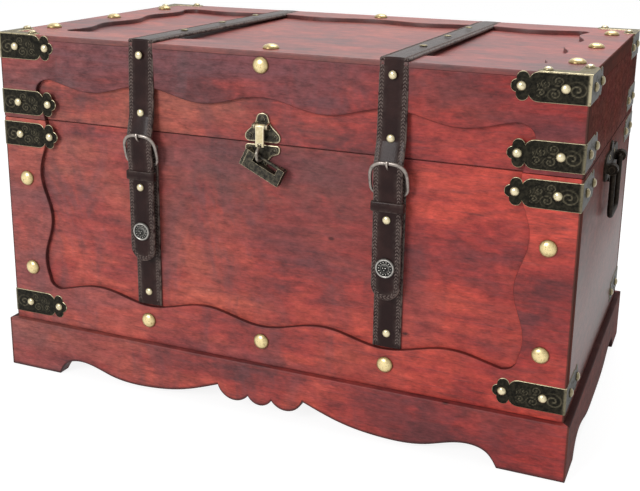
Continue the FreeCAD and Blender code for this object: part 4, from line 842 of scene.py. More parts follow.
def bent_bracket(sx, sy, middle, bend_wear=BEND_WEAR):
    """The strip laid round a corner: along the front or back, a tight bend, then along the side."""
    arc = BEND * QUARTER
    s = strip_u[:, None]
    turn = np.clip((s + arc / 2) / arc, 0, 1) * QUARTER
    run = np.abs(s) - arc / 2
    x = HALF_W - BEND + BEND * np.sin(turn) - np.where(s < -arc / 2, run, 0)
    y = HALF_D - BEND + BEND * np.cos(turn) - np.where(s > arc / 2, run, 0)
    px = x + np.sin(turn) * strip_h
    py = y + np.cos(turn) * strip_h
    face = points_of(sx * px, sy * py, middle + strip_v)
    back = points_of(sx * x, sy * y, middle + strip_v[:, [-1, 0]])
    rubbed = np.maximum(strip_wear, bend_wear * np.exp(-(s / BEND_SPREAD) ** 2))
    return backed(face, back, rubbed * np.where(s > BEND, SHADED_SIDE_LEG_RUB, 1.0))


CORNERS = [(sx, sy) for sx in (-1, 1) for sy in (-1, 1)]
UPPER_LEVEL = 265.0
LOWER_LEVEL = 76.5
LID_LEVEL = 299.0
CAP_LEVEL = LID_TOP - BRACKET_HALF
BRACKETS = (("body_upper_brackets", "chest", UPPER_LEVEL), ("body_lower_brackets", "chest", LOWER_LEVEL),
            ("lid_edge_brackets", "lid", LID_LEVEL))
for node, body, middle in BRACKETS:
    strips = [bent_bracket(sx, sy, middle) for sx, sy in CORNERS]
    make_piece("stamped_" + node, strips, body, bracket_bronze, [node], SOFT_CREASE)

# %% [markdown]
# A corner cap of the lid is such a bracket with two more arms, which lie flat on the lid's top. They are
# the same stamped face on a narrower strip with a round end. Their bend is painted paler, for rubbing and a
# painted sheen, and their flat arms carry a painted sheen of the light from above.

# %% The corner caps of the lid
FLANGE_LENGTH = 46.0
FLANGE_WIDTH = 14.0
FLANGE_FINE = (38.0, 38.3)
FLANGE_COLUMNS = 25
# Painted sheen on the caps' flat arms, and rubbing with painted sheen at their bend.
CAP_ARM_SHEEN = 0.4
CAP_BEND_RUB_AND_SHEEN = 1.0


def cap_arm(start, sx, sy, along_x):
    """One flat arm, from start to its round end, along the front or along the side."""
    half = FLANGE_WIDTH / 2
    fine = np.linspace(FLANGE_FINE[1], FLANGE_LENGTH, 18)
    u = np.concatenate([np.linspace(start, FLANGE_FINE[0], 40), fine])
    past = ((u - FLANGE_LENGTH + half) / half).clip(0, 1)
    v, height, wear = stamped_strip(u, half * np.sqrt(1 - past ** 2), FLANGE_COLUMNS)
    length, breadth = (HALF_W, HALF_D) if along_x else (HALF_D, HALF_W)
    along = length + BRACKET_SHEET - u[:, None]
    aside = breadth + BRACKET_SHEET - half + v
    x, y = (along, aside) if along_x else (aside, along)
    face = points_of(sx * x, sy * y, LID_TOP + height)
    back = face[:, [-1, 0]] * [1, 1, 0] + [0, 0, LID_TOP]
    return backed(face, back, np.clip(wear + CAP_ARM_SHEEN, 0, 1))


caps = [bent_bracket(sx, sy, CAP_LEVEL, CAP_BEND_RUB_AND_SHEEN) for sx, sy in CORNERS]
caps += [cap_arm(0.0, sx, sy, True) for sx, sy in CORNERS]
caps += [cap_arm(FLANGE_WIDTH, sx, sy, False) for sx, sy in CORNERS]
make_piece("stamped_corner_caps", caps, "lid", bracket_bronze, ["lid_corner_caps"],
           SOFT_CREASE)

# %% [markdown]
# ## Nails and rivets
# All of them are turned shapes: a profile of radius and height spun round an axis. The big nails are plain
# domes with a thin rim; the bracket nails and strap rivets are smaller and a little flatter.

# %% Turned heads
AXES = {"front": (0, -1, 0), "back": (0, 1, 0), "right": (1, 0, 0), "left": (-1, 0, 0), "up": (0, 0, 1)}
# Painted shade: nails on the chest's sides get less polish, so they stay darker.
SHADED_SIDE_POLISH = {"left": 0.3, "right": 0.3}
DOME_STEPS = 9
DOME_RIM = 0.5
# Radius, height and number of points round each kind of head
NAIL = (4.3, 3.2, 22)
DOME = (8.0, 4.6, 40)
RIVET = (4.0, 2.6, 26)
FLUSH_RIVET = (4.0, 1.6, 26)


def turned(profile, seat, way, count, wear=None):
    """Profile of (radius, height) points spun round the axis through seat; ring k has radius r_k."""
    axis = np.array(AXES[way], float)
    first = np.array([1.0, 0, 0] if way == "up" else [0, 0, 1.0])
    second = np.cross(axis, first)
    angle = full_turn(count)[:, None]
    ring = np.cos(angle) * first + np.sin(angle) * second
    r, h = np.array(profile, float).T
    points = np.array(seat, float) + r[:, None, None] * ring + h[:, None, None] * axis
    return shell(points, 0.0 if wear is None else np.array(wear)[:, None], caps=False)


def heads(seats, radius, height, count, polish=1.0):
    """A turned dome for each (seat, way): half an ellipse on a short upright rim, closed underneath."""
    turn = np.linspace(0, QUARTER, DOME_STEPS)
    dome = points_of(radius * np.cos(turn), DOME_RIM + (height - DOME_RIM) * np.sin(turn))
    profile = np.concatenate([[[0, 0], [radius * 0.96, 0]], dome])
    # Pale towards the top and dark at the rim: rubbing and patina, and also a painted highlight on top and a
    # painted dark reflection round the rim.
    wear = np.concatenate([[0, 0], np.linspace(0.0, 1.3, DOME_STEPS).clip(0, 1)])
    return [turned(profile, seat, way, count, wear * SHADED_SIDE_POLISH.get(way, polish)) for seat, way in seats]


# %% [markdown]
# Two small nails hold each leg of a bracket, and one holds each flat arm of a cap. The big domes are only
# trim and stand in rows on the frames.

# %% Nails of the body and the lid
NAIL_SEAT = 0.6
NAILS_ALONG = (21.0, 58.0)
ARM_NAIL_ALONG = 37.0
ARM_NAIL_IN = 7.0
BODY_DOME_X, BODY_DOME_Z = 275.0, (117.5, 217.5)
RAIL_DOME_X, RAIL_DOME_Z = (-130.0, 0.0, 130.0), 80.5
LID_DOME_Z = 357.0
TOP_DOME_X, TOP_DOME_Y = 278.0, (-114.0, 0.0, 114.0)
TOP_RAIL_DOME_Y = 155.5


def bracket_nails(middle):
    """Two nails on each leg of the four brackets at one level."""
    seats = []
    for sx, sy in CORNERS:
        for along in NAILS_ALONG:
            face = (sx * (HALF_W + BRACKET_SHEET - along), sy * (HALF_D + NAIL_SEAT), middle)
            side = (sx * (HALF_W + NAIL_SEAT), sy * (HALF_D - along), middle)
            seats += [(face, "front" if sy < 0 else "back"), (side, "right" if sx > 0 else "left")]
    return seats


body_seats = bracket_nails(UPPER_LEVEL) + bracket_nails(LOWER_LEVEL)
lid_seats = bracket_nails(LID_LEVEL) + bracket_nails(CAP_LEVEL)
for sx, sy in CORNERS:
    for in_x, in_y in ((ARM_NAIL_ALONG, ARM_NAIL_IN), (ARM_NAIL_IN, ARM_NAIL_ALONG)):
        lid_seats.append(((sx * (HALF_W - in_x), sy * (HALF_D - in_y), LID_TOP + NAIL_SEAT), "up"))
body_domes = [((sx * BODY_DOME_X, -HALF_D, z), "front") for sx in (-1, 1) for z in BODY_DOME_Z]
body_domes += [((x, -HALF_D, RAIL_DOME_Z), "front") for x in RAIL_DOME_X]
lid_domes = [((0, -HALF_D, LID_DOME_Z), "front")]
lid_domes += [((sx * TOP_DOME_X, y, LID_TOP), "up") for sx in (-1, 1) for y in TOP_DOME_Y]
lid_domes += [((0, sy * TOP_RAIL_DOME_Y, LID_TOP), "up") for sy in (-1, 1)]
NAIL_SETS = (
    ("bracket_nails_body", "chest", body_seats, NAIL, stud_brass, "body_bracket_nails"),
    ("bracket_nails_lid", "lid", lid_seats, NAIL, stud_brass, "lid_bracket_nails"),
    ("dome_nails_body", "chest", body_domes, DOME, nail_brass, "body_dome_nails"),
    ("dome_nails_lid", "lid", lid_domes, DOME, nail_brass, "lid_dome_nails"),
)
for name, body, seats, kind, finish, node in NAIL_SETS:
    make_piece(name, heads(seats, *kind), body, finish, [node])

# %% [markdown]
# ## Hasp plates and tongue
# The two plates of the hasp are stamped to a bell shape with a rolled rim. Half the outline is a spline
# through a few points, and the other half mirrors it. A plate is its outline repeated: at the foot, at the
# top of the edge, and drawn in a little for the bevel and the flat face.

# %% Flat plates with a bevel
def drawn_in(outline, distance):
    """Outline moved inwards: each corner goes along its mitre, so straight edges stay parallel."""
    ahead = unit(np.roll(outline, -1, axis=0) - outline)
    inward = points_of(-ahead[:, 1], ahead[:, 0])
    before = np.roll(inward, 1, axis=0)
    mitre = (inward + before) / (1 + np.sum(inward * before, axis=1, keepdims=True))
    return outline + mitre * distance


def slab(outline, lift, low, high, bevel, rim=0.0):
    """Plate from an anticlockwise outline; rim is how far its edge stands above the flat face."""
    steps = [(0.0, low, 0.0), (0.0, high - bevel, 0.6), (bevel * 0.35, high - bevel * 0.3, 0.9),
             (bevel, high, 0.9), (bevel * 1.5, high, 0.4), (bevel * 2.4, high - rim, 0.0)]
    rings = [lift(*drawn_in(outline, d).T, h) for d, h, wear in steps]
    return shell(np.stack(rings), np.array([wear for d, h, wear in steps])[:, None])


def lobed(discs, steps=64):
    """Outline of a band pulled tight round discs: in each direction, the disc that reaches furthest."""
    way = points_of(np.cos(full_turn(steps)), np.sin(full_turn(steps)))
    discs = np.array(discs, float)
    best = discs[np.argmax(way @ discs[:, :2].T + discs[:, 2], axis=1)]
    return best[:, :2] + best[:, 2:] * way


def mirrored(half):
    """Closed outline from its right half, which starts and ends on the middle line."""
    return np.concatenate([half, half[-2:0:-1] * MIRROR])


def across_hasp(y, z, x):
    return points_of(x, y, z)


# %% [markdown]
# The upper plate has two ears for the pin, and the tongue's knuckle turns between them. The tongue is a
# plain strip whose slot at the lower end goes over the staple.

# %% The hasp
HASP_BELL = [(14.5, 283.3), (17.6, 285.0), (18.5, 289.0), (15.6, 293.6), (10.8, 298.0), (7.6, 302.2),
             (6.5, 306.0), (4.4, 310.0), (0.0, 311.5)]
STAPLE_BELL = [(0.0, 259.5), (3.8, 260.8), (5.7, 264.4), (8.0, 268.4), (12.4, 271.0), (16.8, 273.0),
               (18.2, 277.0), (16.9, 280.2), (14.5, 280.8)]
BELL_STEPS = 40
# Foot and face of a plate above the panel, its bevel and its rim
PLATE = (0.0, 2.0, 0.55, 0.4)
PIN_Y, PIN_Z = -178.5, 299.0
EAR = [(PIN_Y, PIN_Z, 2.8), (-173.8, PIN_Z + 3, 0.5), (-173.8, PIN_Z - 3, 0.5)]
EAR_STARTS = (-7.9, 5.1)
EAR_THICK = 2.8
TONGUE = [(4.3, 279.6), (4.3, 300.0), (-4.3, 300.0), (-4.3, 279.6), (-2.0, 279.6), (-2.0, 283.0),
          (2.0, 283.0), (2.0, 279.6)]
TONGUE_OUT = (6.8, 8.8)
SMALL_BEVEL = 0.4
KNUCKLE = [(0, 0), (2.5, 0), (2.7, 0.3), (2.7, 8.9), (2.5, 9.2), (0, 9.2)]
KNUCKLE_START = -4.6
bell = np.concatenate([[[0.0, HASP_BELL[0][1]]], smooth_curve(HASP_BELL, BELL_STEPS)])
hasp = [slab(mirrored(bell), on_front, *PLATE)]
hasp += [slab(lobed(EAR), across_hasp, x, x + EAR_THICK, SMALL_BEVEL) for x in EAR_STARTS]
make_piece("hasp_bell", hasp, "lid", lock_bronze, ["hasp_plate"])
bell = np.concatenate([smooth_curve(STAPLE_BELL, BELL_STEPS), [[0.0, STAPLE_BELL[-1][1]]]])
make_piece("staple_bell", [slab(mirrored(bell), on_front, *PLATE)], "chest", lock_bronze,
           ["staple_plate"])
knuckle = turned(KNUCKLE, (KNUCKLE_START, PIN_Y, PIN_Z), "right", 24)
strip = slab(np.array(TONGUE), on_front, *TONGUE_OUT, SMALL_BEVEL)
make_piece("tongue_strip", [strip, knuckle], "hasp", tongue_brass, ["hasp_tongue"])

# %% [markdown]
# ## Leather straps
# A strap runs up the lid's back, over the top and down the front, and goes on as a flap with a round tip,
# so it is made as one band. Its section has rolled edges and two shallow seam grooves a side; it is carried
# along a path of straight runs with rounded corners.

# %% Strap path
STRAP_X = 130.0
STRAPS = (("left", -STRAP_X), ("right", STRAP_X))
STRAP_HALF = 14.0
LEATHER_HALF = 1.5
STRAP_OUT = HALF_D + LEATHER_HALF
STRAP_UP = LID_TOP + LEATHER_HALF
FLAP_Y = -183.5
FLAP_TIP = 148.0
BULGE_Y = FLAP_Y - 1.8
BACK_END = 300.4
# Corners of the strap's path as Y, Z and the radius of the bend there
STRAP_ROUTE = [(STRAP_OUT, BACK_END, 0), (STRAP_OUT, STRAP_UP, 3.0), (-STRAP_OUT, STRAP_UP, 3.0),
               (-STRAP_OUT, 299.0, 14.0), (BULGE_Y, 277.0, 9.0), (BULGE_Y, 262.0, 14.0),
               (FLAP_Y, 246.0, 14.0), (FLAP_Y, FLAP_TIP, 0)]
ROUTE_STEP = 3.0
LEAST_STEP = 0.05
BEND_STEPS = 9


def at_lengths(places, length, track):
    """Two columns of a track, read at places along its length."""
    return points_of(*(np.interp(places, length, column) for column in track.T))


def rounded_route(route):
    """Straight runs between the points, with an arc of the given radius at each corner, evenly spaced."""
    corners = np.array([r[:2] for r in route], float)
    path = [corners[:1]]
    for k in range(1, len(route) - 1):
        before = unit(corners[k - 1] - corners[k])
        after = unit(corners[k + 1] - corners[k])
        half = np.arccos(np.clip(before @ after, -1, 1)) / 2
        radius = route[k][2]
        centre = corners[k] + unit(before + after) * radius / np.sin(half)
        start = corners[k] + before * radius / np.tan(half) - centre
        sense = np.sign(start[0] * after[1] - start[1] * after[0])
        angle = np.linspace(0, np.pi - 2 * half, BEND_STEPS)[:, None] * sense
        aside = np.array([-start[1], start[0]])
        path.append(centre + start * np.cos(angle) + aside * np.sin(angle))
    points = np.concatenate(path + [corners[-1:]])
    length = np.concatenate([[0], np.cumsum(np.linalg.norm(np.diff(points, axis=0), axis=1))])
    even = np.unique(np.concatenate([np.arange(0, length[-1], ROUTE_STEP), length]))
    even = even[np.concatenate([[True], np.diff(even) > LEAST_STEP])]
    return at_lengths(even, length, points), even


def sides_of(path):
    """Unit vectors along a path and to its left-hand, outer side."""
    ahead = unit(np.gradient(path, axis=0))
    return ahead, points_of(ahead[:, 1], -ahead[:, 0])


# %% [markdown]
# The section is a list of heights for the distance from the edge. The same list serves the straight run and
# the round tip, so the rolled edge and the seam's grooves go round the tip as well.

# %% Strap section
SECTION_IN = np.array([0.0, 0.25, 0.9, 1.4, 2.3, 3.3, 4.3, 5.2, 6.0, 9.0, 12.0])
SECTION_UP = np.array([0.2, 0.9, 1.36, 1.45, 1.22, 1.34, 1.22, 1.5, 1.62, 1.78, 1.78])
# Wear of the section: scuffing, and painted glints on the rolled edge and the ridge between the seams.
SECTION_WEAR_AND_GLINT = np.array([1.0, 1.0, 0.7, 0.25, 0.0, 0.4, 0.0, 0.3, 0.1, 0.0, 0.0])
UNDER_SHARE = np.array([1.0, 0.97, -0.97, -1.0])
UNDER_UP = np.array([-0.9, -1.5, -1.5, -0.9])
UNDER_WEAR = np.array([0.6, 0.0, 0.0, 0.6])


def leather_band(x, path, half_width):
    """Stitched strap along a path in the YZ plane, half_width wide at each row.

    Its height and wear depend on the distance from its edge, also round the tip, where that edge is a half
    circle about the point one half width before the end.
    """
    out = sides_of(path)[1]
    past_centre = np.sqrt(STRAP_HALF ** 2 - half_width ** 2)[:, None]
    left = half_width[:, None] * (SECTION_IN / STRAP_HALF - 1)
    face = np.concatenate([left, -left[:, ::-1]], axis=1)
    from_edge = STRAP_HALF - np.hypot(face, past_centre)
    under = half_width[:, None] * UNDER_SHARE

    def with_under(values, below):
        return np.concatenate([values, np.broadcast_to(below, under.shape)], axis=1)

    across = with_under(face, under)
    heights = with_under(np.interp(from_edge, SECTION_IN, SECTION_UP), UNDER_UP)
    wear = with_under(np.interp(from_edge, SECTION_IN, SECTION_WEAR_AND_GLINT), UNDER_WEAR)
    y = path[:, :1] + out[:, :1] * heights
    z = path[:, 1:] + out[:, 1:] * heights
    return shell(points_of(x + across, y, z), wear)


# %% [markdown]
# The thread shows as short raised dashes in the grooves. One dash is a small bead of a few faces, set down
# again and again along the path by adding the path's own directions, for all of them at once.

# %% Seam stitches
SEAM_ROWS = ((2.3, 1), (4.3, -1))
SEAM_HEIGHT = 1.3
SEAM_SLANT = 0.55
SEAM_OFFSETS = [(side * (STRAP_HALF - row), side * lean * SEAM_SLANT)
                for side in (-1, 1) for row, lean in SEAM_ROWS]
STITCH_PITCH = 3.3
TIP_PITCH = 3.2
DASH_HALF, THREAD_WIDE, THREAD_HIGH = 1.5, 0.46, 0.42
BEAD_GRID = (5, 6)


def beads_at(centres, ahead, side, out, slant):
    """The same small ellipsoid of a few points at every centre, slanted between ahead and side."""
    ahead, side = ahead + slant * side, side - slant * ahead
    lat = np.linspace(-QUARTER, QUARTER, BEAD_GRID[0])[:, None]
    lon = full_turn(BEAD_GRID[1])
    along = np.broadcast_to(np.sin(lat) * DASH_HALF, BEAD_GRID)[..., None]
    aside = (np.cos(lat) * np.cos(lon) * THREAD_WIDE)[..., None]
    high = (np.cos(lat) * np.sin(lon) * THREAD_HIGH)[..., None]
    spread = [np.broadcast_to(v, centres.shape)[:, None, None] for v in (centres, ahead, side, out)]
    points = spread[0] + spread[1] * along + spread[2] * aside + spread[3] * high
    steps = np.arange(len(centres))[:, None, None] * along.size
    faces = (grid_quads(*BEAD_GRID)[None] + steps).reshape(-1, 4).tolist()
    return points.reshape(-1, 3), faces, np.zeros(points.size // 3)


def stitches(x, path, length, start, stop):
    """Rows of beads along a path in the YZ plane, half sunk into the seam grooves."""
    places = np.arange(start, stop, STITCH_PITCH)
    spot, ahead, out = (at_lengths(places, length, track) for track in (path, *sides_of(path)))
    ahead, out = (np.insert(way, 0, 0.0, axis=1) for way in (ahead, out))
    spot = np.insert(spot, 0, x, axis=1) + out * SEAM_HEIGHT
    across = np.array([1.0, 0, 0])
    return [beads_at(spot + [offset, 0, 0], ahead, across, out, slant) for offset, slant in SEAM_OFFSETS]


def tip_stitches(x):
    """Two rows of beads round the flap's tip."""
    rows = []
    for row, lean in SEAM_ROWS:
        radius = STRAP_HALF - row
        angle = np.pi + np.linspace(0, np.pi, int(np.pi * radius / TIP_PITCH))
        cos, sin = np.cos(angle), np.sin(angle)
        outward = points_of(cos, 0.0, sin)
        centres = [x, FLAP_Y - SEAM_HEIGHT, FLAP_TIP + STRAP_HALF] + radius * outward
        out = np.array([0, -1.0, 0])
        rows.append(beads_at(centres, points_of(-sin, 0.0, cos), outward, out, lean * SEAM_SLANT))
    return rows


# %% [markdown]
# A strap and its thread are each one mesh, attached to no body.

# %% The straps with their flaps
TIP_STEPS = 26
TIP_LEAST = 0.05
SEAM_START = 4.0
path, length = rounded_route(STRAP_ROUTE)
tip_start = length[-1] - STRAP_HALF
tip_steps = tip_start + STRAP_HALF * np.sin(np.linspace(0, QUARTER, TIP_STEPS))
fine = np.unique(np.concatenate([length[length < tip_start], tip_steps]))
path = at_lengths(fine, length, path)
past = np.clip((fine - tip_start) / STRAP_HALF, 0, 1)
half_width = np.maximum(STRAP_HALF * np.sqrt(1 - past ** 2), TIP_LEAST)
for word, x in STRAPS:
    band = leather_band(x, path, half_width)
    strap = make_piece("strap_" + word, [band], None, strap_leather, ())
    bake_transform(strap)
    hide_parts("lid_strap_" + word, "flap_" + word)
    beads = stitches(x, path, fine, SEAM_START, fine[-1] - STRAP_HALF) + tip_stitches(x)
    thread = make_piece("strap_seams_" + word, beads, None, seam_thread, ())
    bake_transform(thread)

# %% [markdown]
# Under each flap a second band is riveted to the recessed front. It is the same leather on a straight path.

# %% The lower bands
LOWER_Y = -HALF_D + OVERLAY - LEATHER_HALF
LOWER_LOW = 97.6
LOWER_HIGH = 268.0
LOWER_STEPS = 60
LOWER_SEAM_START = 3.0
lower_length = np.linspace(0, LOWER_HIGH - LOWER_LOW, LOWER_STEPS)
lower_path = points_of(LOWER_Y, LOWER_HIGH - lower_length)
for word, x in STRAPS:
    band = leather_band(x, lower_path, np.full(LOWER_STEPS, STRAP_HALF))
    make_piece("lower_band_" + word, [band], "chest", strap_leather, ["lower_strap_" + word])
    beads = stitches(x, lower_path, lower_length, LOWER_SEAM_START, lower_length[-1] - LOWER_SEAM_START)
    make_piece("lower_band_seams_" + word, beads, "chest", seam_thread, ())

# %% [markdown]
# ## Buckles
# The buckle is a bent wire frame that stands a little askew: its bar is behind the leather and its top in
# front. The prong starts at the bar, comes through the leather and lies over the top of the frame.

# %% Bent wire
WIRE_POINTS = 12
BUCKLE_Y, BUCKLE_Z = -179.8, 250.0
BUCKLE_TALL = 30.0
BUCKLE_LEAN = math.asin(7.4 / BUCKLE_TALL)
BUCKLE_SIDE = [(10.0, 29.0), (15.5, 24.5), (17.6, 17.0), (17.8, 8.5), (16.6, 2.0), (13.0, -0.6),
               (9.0, -0.2)]
BUCKLE_LOOP = [(-u, v) for u, v in BUCKLE_SIDE[::-1]] + [(0.0, 30.2)] + BUCKLE_SIDE
LOOP_STEPS = 84
BUCKLE_WIRE = 1.5
TOP_SWELL = 0.4
HOOP_FLAT = 0.9
BAR_HALF = 12.0
BAR_STEPS = 12
PRONG = [(BUCKLE_Y, 252.8), (BUCKLE_Y - 0.1, 268.4), (-184.4, 272.5), (-189.6, 277.0), (-190.5, 279.2),
         (-189.8, 281.4)]
PRONG_STEPS = 40
PRONG_WIRE = (1.25, 1.05)


def wire(points, radius, side, wear, flat=1.0):
    """Round wire along a plane path; its rings lie between the plane's normal and the path's left side."""
    side = np.array(side, float)
    left = np.cross(unit(np.gradient(points, axis=0)), side)
    angle = full_turn(WIRE_POINTS)[None, :, None]
    radius = np.broadcast_to(radius, len(points))[:, None, None]
    ring = np.cos(angle) * left[:, None] + flat * np.sin(angle) * side
    return shell(points[:, None] + radius * ring, wear)


def in_buckle(x, u, v):
    """Place in the buckle's own leaning plane: u across, v up from the bar."""
    y = BUCKLE_Y - v * math.sin(BUCKLE_LEAN)
    return points_of(x + u, y, BUCKLE_Z + v * math.cos(BUCKLE_LEAN))


lean_side = (0, -math.cos(BUCKLE_LEAN), -math.sin(BUCKLE_LEAN))
loop_u, loop_v = smooth_curve(BUCKLE_LOOP, LOOP_STEPS).T
swell = BUCKLE_WIRE + TOP_SWELL * np.clip(loop_v / BUCKLE_TALL, 0, 1)
bar_u = np.linspace(-BAR_HALF, BAR_HALF, BAR_STEPS)
for word, x in STRAPS:
    hoop = wire(in_buckle(x, loop_u, loop_v), swell, lean_side, 0.5, HOOP_FLAT)
    bar = wire(in_buckle(x, bar_u, 0.0), BUCKLE_WIRE, lean_side, 0.2)
    bends = np.insert(smooth_curve(PRONG, PRONG_STEPS), 0, x, axis=1)
    prong = wire(bends, np.linspace(*PRONG_WIRE, PRONG_STEPS), (1, 0, 0), 0.8)
    make_piece("buckle_frame_" + word, [hoop, bar, prong], "flap_" + word, buckle_pewter,
               ["buckle_" + word], SOFT_CREASE)

# %% [markdown]
# ## Keepers
# The keeper is a loop of leather round the flap, below the buckle. Its plan is a rounded rectangle, and its
# upright section is a rounded bar, so the loop is one ring of sections.

# %% Keepers
KEEPER_MIDDLE = 238.0
KEEPER_HALF = 4.5
KEEPER_WIDE = 15.2
KEEPER_DEEP = 2.7
KEEPER_CORNER = 1.6
KEEPER_LEATHER = 0.9


def rounded_bar(wave, power):
    """A cosine or sine with flatter tops: its sign times a power of its size."""
    return np.sign(wave) * np.abs(wave) ** power


def keeper_loop(x):
    """Band round the flap: a rounded rectangle in plan, with a rounded upright section."""
    angle = full_turn(72)[:, None]
    cos, sin = np.cos(angle), np.sin(angle)
    px = np.sign(cos) * (KEEPER_WIDE - KEEPER_CORNER) + KEEPER_CORNER * cos
    py = np.sign(sin) * (KEEPER_DEEP - KEEPER_CORNER) + KEEPER_CORNER * sin
    section = full_turn(14)
    swell = KEEPER_LEATHER * rounded_bar(np.cos(section), 0.5)
    height = KEEPER_HALF * rounded_bar(np.sin(section), 0.35)
    points = points_of(x + px + cos * swell, FLAP_Y + py + sin * swell, KEEPER_MIDDLE + height)
    wear = np.clip(np.abs(height) / KEEPER_HALF - 0.6, 0, 1)
    return shell(points, wear, wrap_rows=True)


for word, x in STRAPS:
    make_piece("keeper_loop_" + word, [keeper_loop(x)], "flap_" + word, strap_leather,
               ["keeper_" + word])

# %% [markdown]
# ## Snaps and rivets of the straps
# The snap's cap is turned, with a ring of small beads and three dots on its button. The rivets are the same
# small domes as before; those on top of the lid lie almost flush in the leather.

# %% Snap caps and the rivets of the flaps
FLAP_FACE = FLAP_Y - LEATHER_HALF - 0.25
FLAP_RIVET_Z = 226.0
SNAP_Z = 180.0
CAP_PROFILE = [(0, 0), (9.2, 0), (9.5, 0.7), (9.4, 1.6), (8.8, 2.4), (8.0, 2.6), (7.3, 2.2), (7.0, 1.5),
               (4.9, 1.4), (4.6, 2.0), (3.9, 2.8), (2.4, 3.3), (0, 3.5)]
CAP_WEAR = (0, 0, 0.1, 0.2, 0.4, 0.7, 0.1, 0.0, 0.0, 0.5, 0.1, 0.0, 0.0)
CAP_BACK = [(0, 0), (6.5, 0), (6.5, 2.4), (5.6, 2.8), (0, 2.8)]
CAP_DOTS = ((-1.2, 0.9), (1.2, 0.9), (0.0, -1.2))
CAP_BEAD = (0.6, 0.9, 8)
BEAD_RING = 5.95
BEAD_COUNT = 14
BEAD_OUT, DOT_OUT = 1.2, 3.0
for word, x in STRAPS:
    rivet = heads([((x, FLAP_FACE, FLAP_RIVET_Z), "front")], *RIVET)
    make_piece("flap_rivet_" + word, rivet, "flap_" + word, stud_brass, ())
    spots = [(BEAD_RING * math.cos(a), BEAD_RING * math.sin(a), BEAD_OUT) for a in full_turn(BEAD_COUNT)]
    spots += [(u, v, DOT_OUT) for u, v in CAP_DOTS]
    cap = [turned(CAP_PROFILE, (x, FLAP_FACE, SNAP_Z), "front", 48, CAP_WEAR)]
    cap += heads([((x + u, FLAP_FACE - out, SNAP_Z + v), "front") for u, v, out in spots], *CAP_BEAD)
    cap.append(turned(CAP_BACK, (x, FLAP_Y + LEATHER_HALF, SNAP_Z), "back", 32))
    make_piece("snap_cap_" + word, cap, "flap_" + word, cap_gunmetal, ["flap_studs_" + word])

# %% Rivets of the bands
LEATHER_FACE = 2 * LEATHER_HALF
FRONT_RIVETS_Z = (358.0, 301.0)
TOP_RIVETS_Y = (-92.0, -8.0, 76.0)
BACK_RIVET_Z = 312.0
LOWER_RIVETS_Z = (LOWER_LOW + 14, LOWER_HIGH - 10)
FLUSH_POLISH = 0.1
lid_rivets, top_rivets, low_rivets = [], [], []
for word, x in STRAPS:
    lid_rivets += [((x, -HALF_D - LEATHER_FACE, z), "front") for z in FRONT_RIVETS_Z]
    lid_rivets.append(((x, HALF_D + LEATHER_FACE, BACK_RIVET_Z), "back"))
    top_rivets += [((x, y, LID_TOP + LEATHER_FACE), "up") for y in TOP_RIVETS_Y]
    low_rivets += [((x, LOWER_Y - LEATHER_HALF, z), "front") for z in LOWER_RIVETS_Z]
lid_heads = heads(lid_rivets, *RIVET) + heads(top_rivets, *FLUSH_RIVET, FLUSH_POLISH)
make_piece("strap_rivets_lid", lid_heads, "lid", stud_brass, ["lid_strap_rivets"])
make_piece("strap_rivets_body", heads(low_rivets, *RIVET), "chest", stud_brass, ["lower_strap_rivets"])

# %% [markdown]
# ## Camera
# The camera stands in front of the chest's right half, a little above it, as in the photograph. Its place
# and turn come from a fit to the chest's visible corners.

# %% Camera
IMAGE_W, IMAGE_H = 640, 491
SENSOR = 36.0
FOCAL_PX = 1023.7
CENTRE_PX = (320.0, 181.5)
EYE = np.array([413.5, -1027.6, 501.2])
TURN = np.array([0.258, 0.3926, 0.0649])
FAR_M = 50.0


def stand(thing, right, up, ahead, place_m):
    """Puts a camera or a lamp at a place, looking ahead."""
    pose = np.eye(4)
    pose[:3] = np.stack([right, up, -ahead, place_m], axis=1)
    thing.matrix_world = Matrix(pose.tolist())


turn = np.array(Matrix.Rotation(np.linalg.norm(TURN), 3, TURN.tolist()))
right, down, ahead = turn @ np.array([[1, 0, 0], [0, 0, -1], [0, 1, 0]], float)
camera = add_object("camera", bpy.data.cameras.new("camera"))
bpy.context.scene.camera = camera
camera.data.sensor_fit = "HORIZONTAL"
camera.data.sensor_width = SENSOR
camera.data.lens = FOCAL_PX * SENSOR / IMAGE_W
camera.data.shift_x = (IMAGE_W / 2 - CENTRE_PX[0]) / IMAGE_W
camera.data.shift_y = (CENTRE_PX[1] - IMAGE_H / 2) / IMAGE_W
camera.data.clip_end = FAR_M
stand(camera, right, -down, ahead, EYE * MM)
print("camera shift", camera.data.shift_x, camera.data.shift_y)

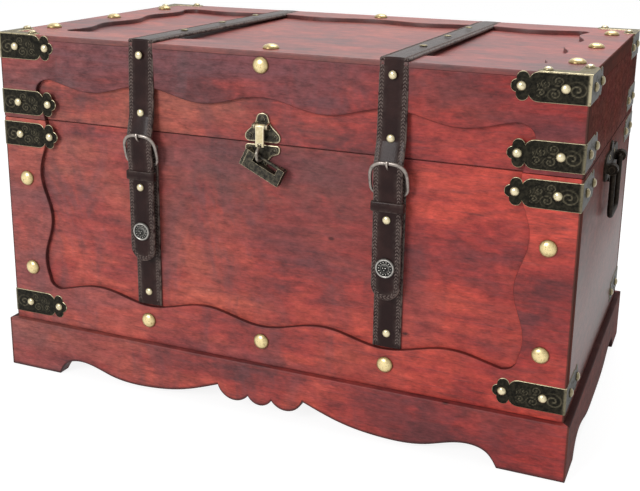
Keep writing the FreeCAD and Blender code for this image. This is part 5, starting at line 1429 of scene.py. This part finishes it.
# %% [markdown]
# ## Light
# The light is a large soft lamp from the front left, a weaker one from above and a plain white surround.
# The surround is weaker as light than it looks, so that the shadows keep some depth, and the floor is
# brightened where it is seen, as on a white studio sheet.

# %% Lamps, floor and surround
WHITE = grey(1.0)
# Name, place, target and size of each lamp in metres, and its watts
LAMPS = (("key_lamp", (-1.05, -3.0, 1.65), (0, 0, 0.2), 1.3, 61),
         ("top_lamp", (0.1, 0.9, 2.3), (0, 0, 0.3), 1.6, 30))
SURROUND_LIGHT = 0.42
FLOOR_REACH_M = 6.0
FLOOR_GLOW = 1.22
FLOOR_GREY = 0.92
GLOW_SHARE = 0.72
for name, place, target, size, watts in LAMPS:
    lamp = bpy.data.lights.new(name, "AREA")
    lamp.shape = "DISK"
    lamp.size = size
    lamp.energy = watts
    ahead = unit(np.array(target, float) - place)
    right = unit(np.cross(ahead, [0, 0, 1.0]))
    stand(add_object(name, lamp), right, np.cross(right, ahead), ahead, place)

world = bpy.data.worlds.new("surround")
bpy.context.scene.world = world
surround = Tree(world)
sky = surround.tree.nodes["Background"]
strength = surround.node("ShaderNodeMapRange", None,
                         {"Value": surround.in_sight(), "To Min": SURROUND_LIGHT, "To Max": 1.0})
surround.link(sky, "Strength", strength)
surround.link(sky, "Color", WHITE)

floor_mesh = bpy.data.meshes.new("floor")
corners = [(x * FLOOR_REACH_M, y * FLOOR_REACH_M, 0) for x, y in ((-1, -1), (1, -1), (1, 1), (-1, 1))]
floor_mesh.from_pydata(corners, [], [(0, 1, 2, 3)])
floor = add_object("floor", floor_mesh)
paint = Paint("pale_floor")
glow = paint.node("ShaderNodeEmission", None, {"Color": WHITE, "Strength": FLOOR_GLOW})
matt = paint.node("ShaderNodeBsdfDiffuse", None, {"Color": grey(FLOOR_GREY)})
mixed = paint.node("ShaderNodeMixShader", None, {0: GLOW_SHARE * paint.in_sight(), 1: matt, 2: glow})
paint.link(paint.tree.nodes["Material Output"], "Surface", mixed)
floor_mesh.materials.append(paint.material)
bpy.context.scene.view_settings.view_transform = "Standard"
print(len(LAMPS), "lamps, a surround and a floor")
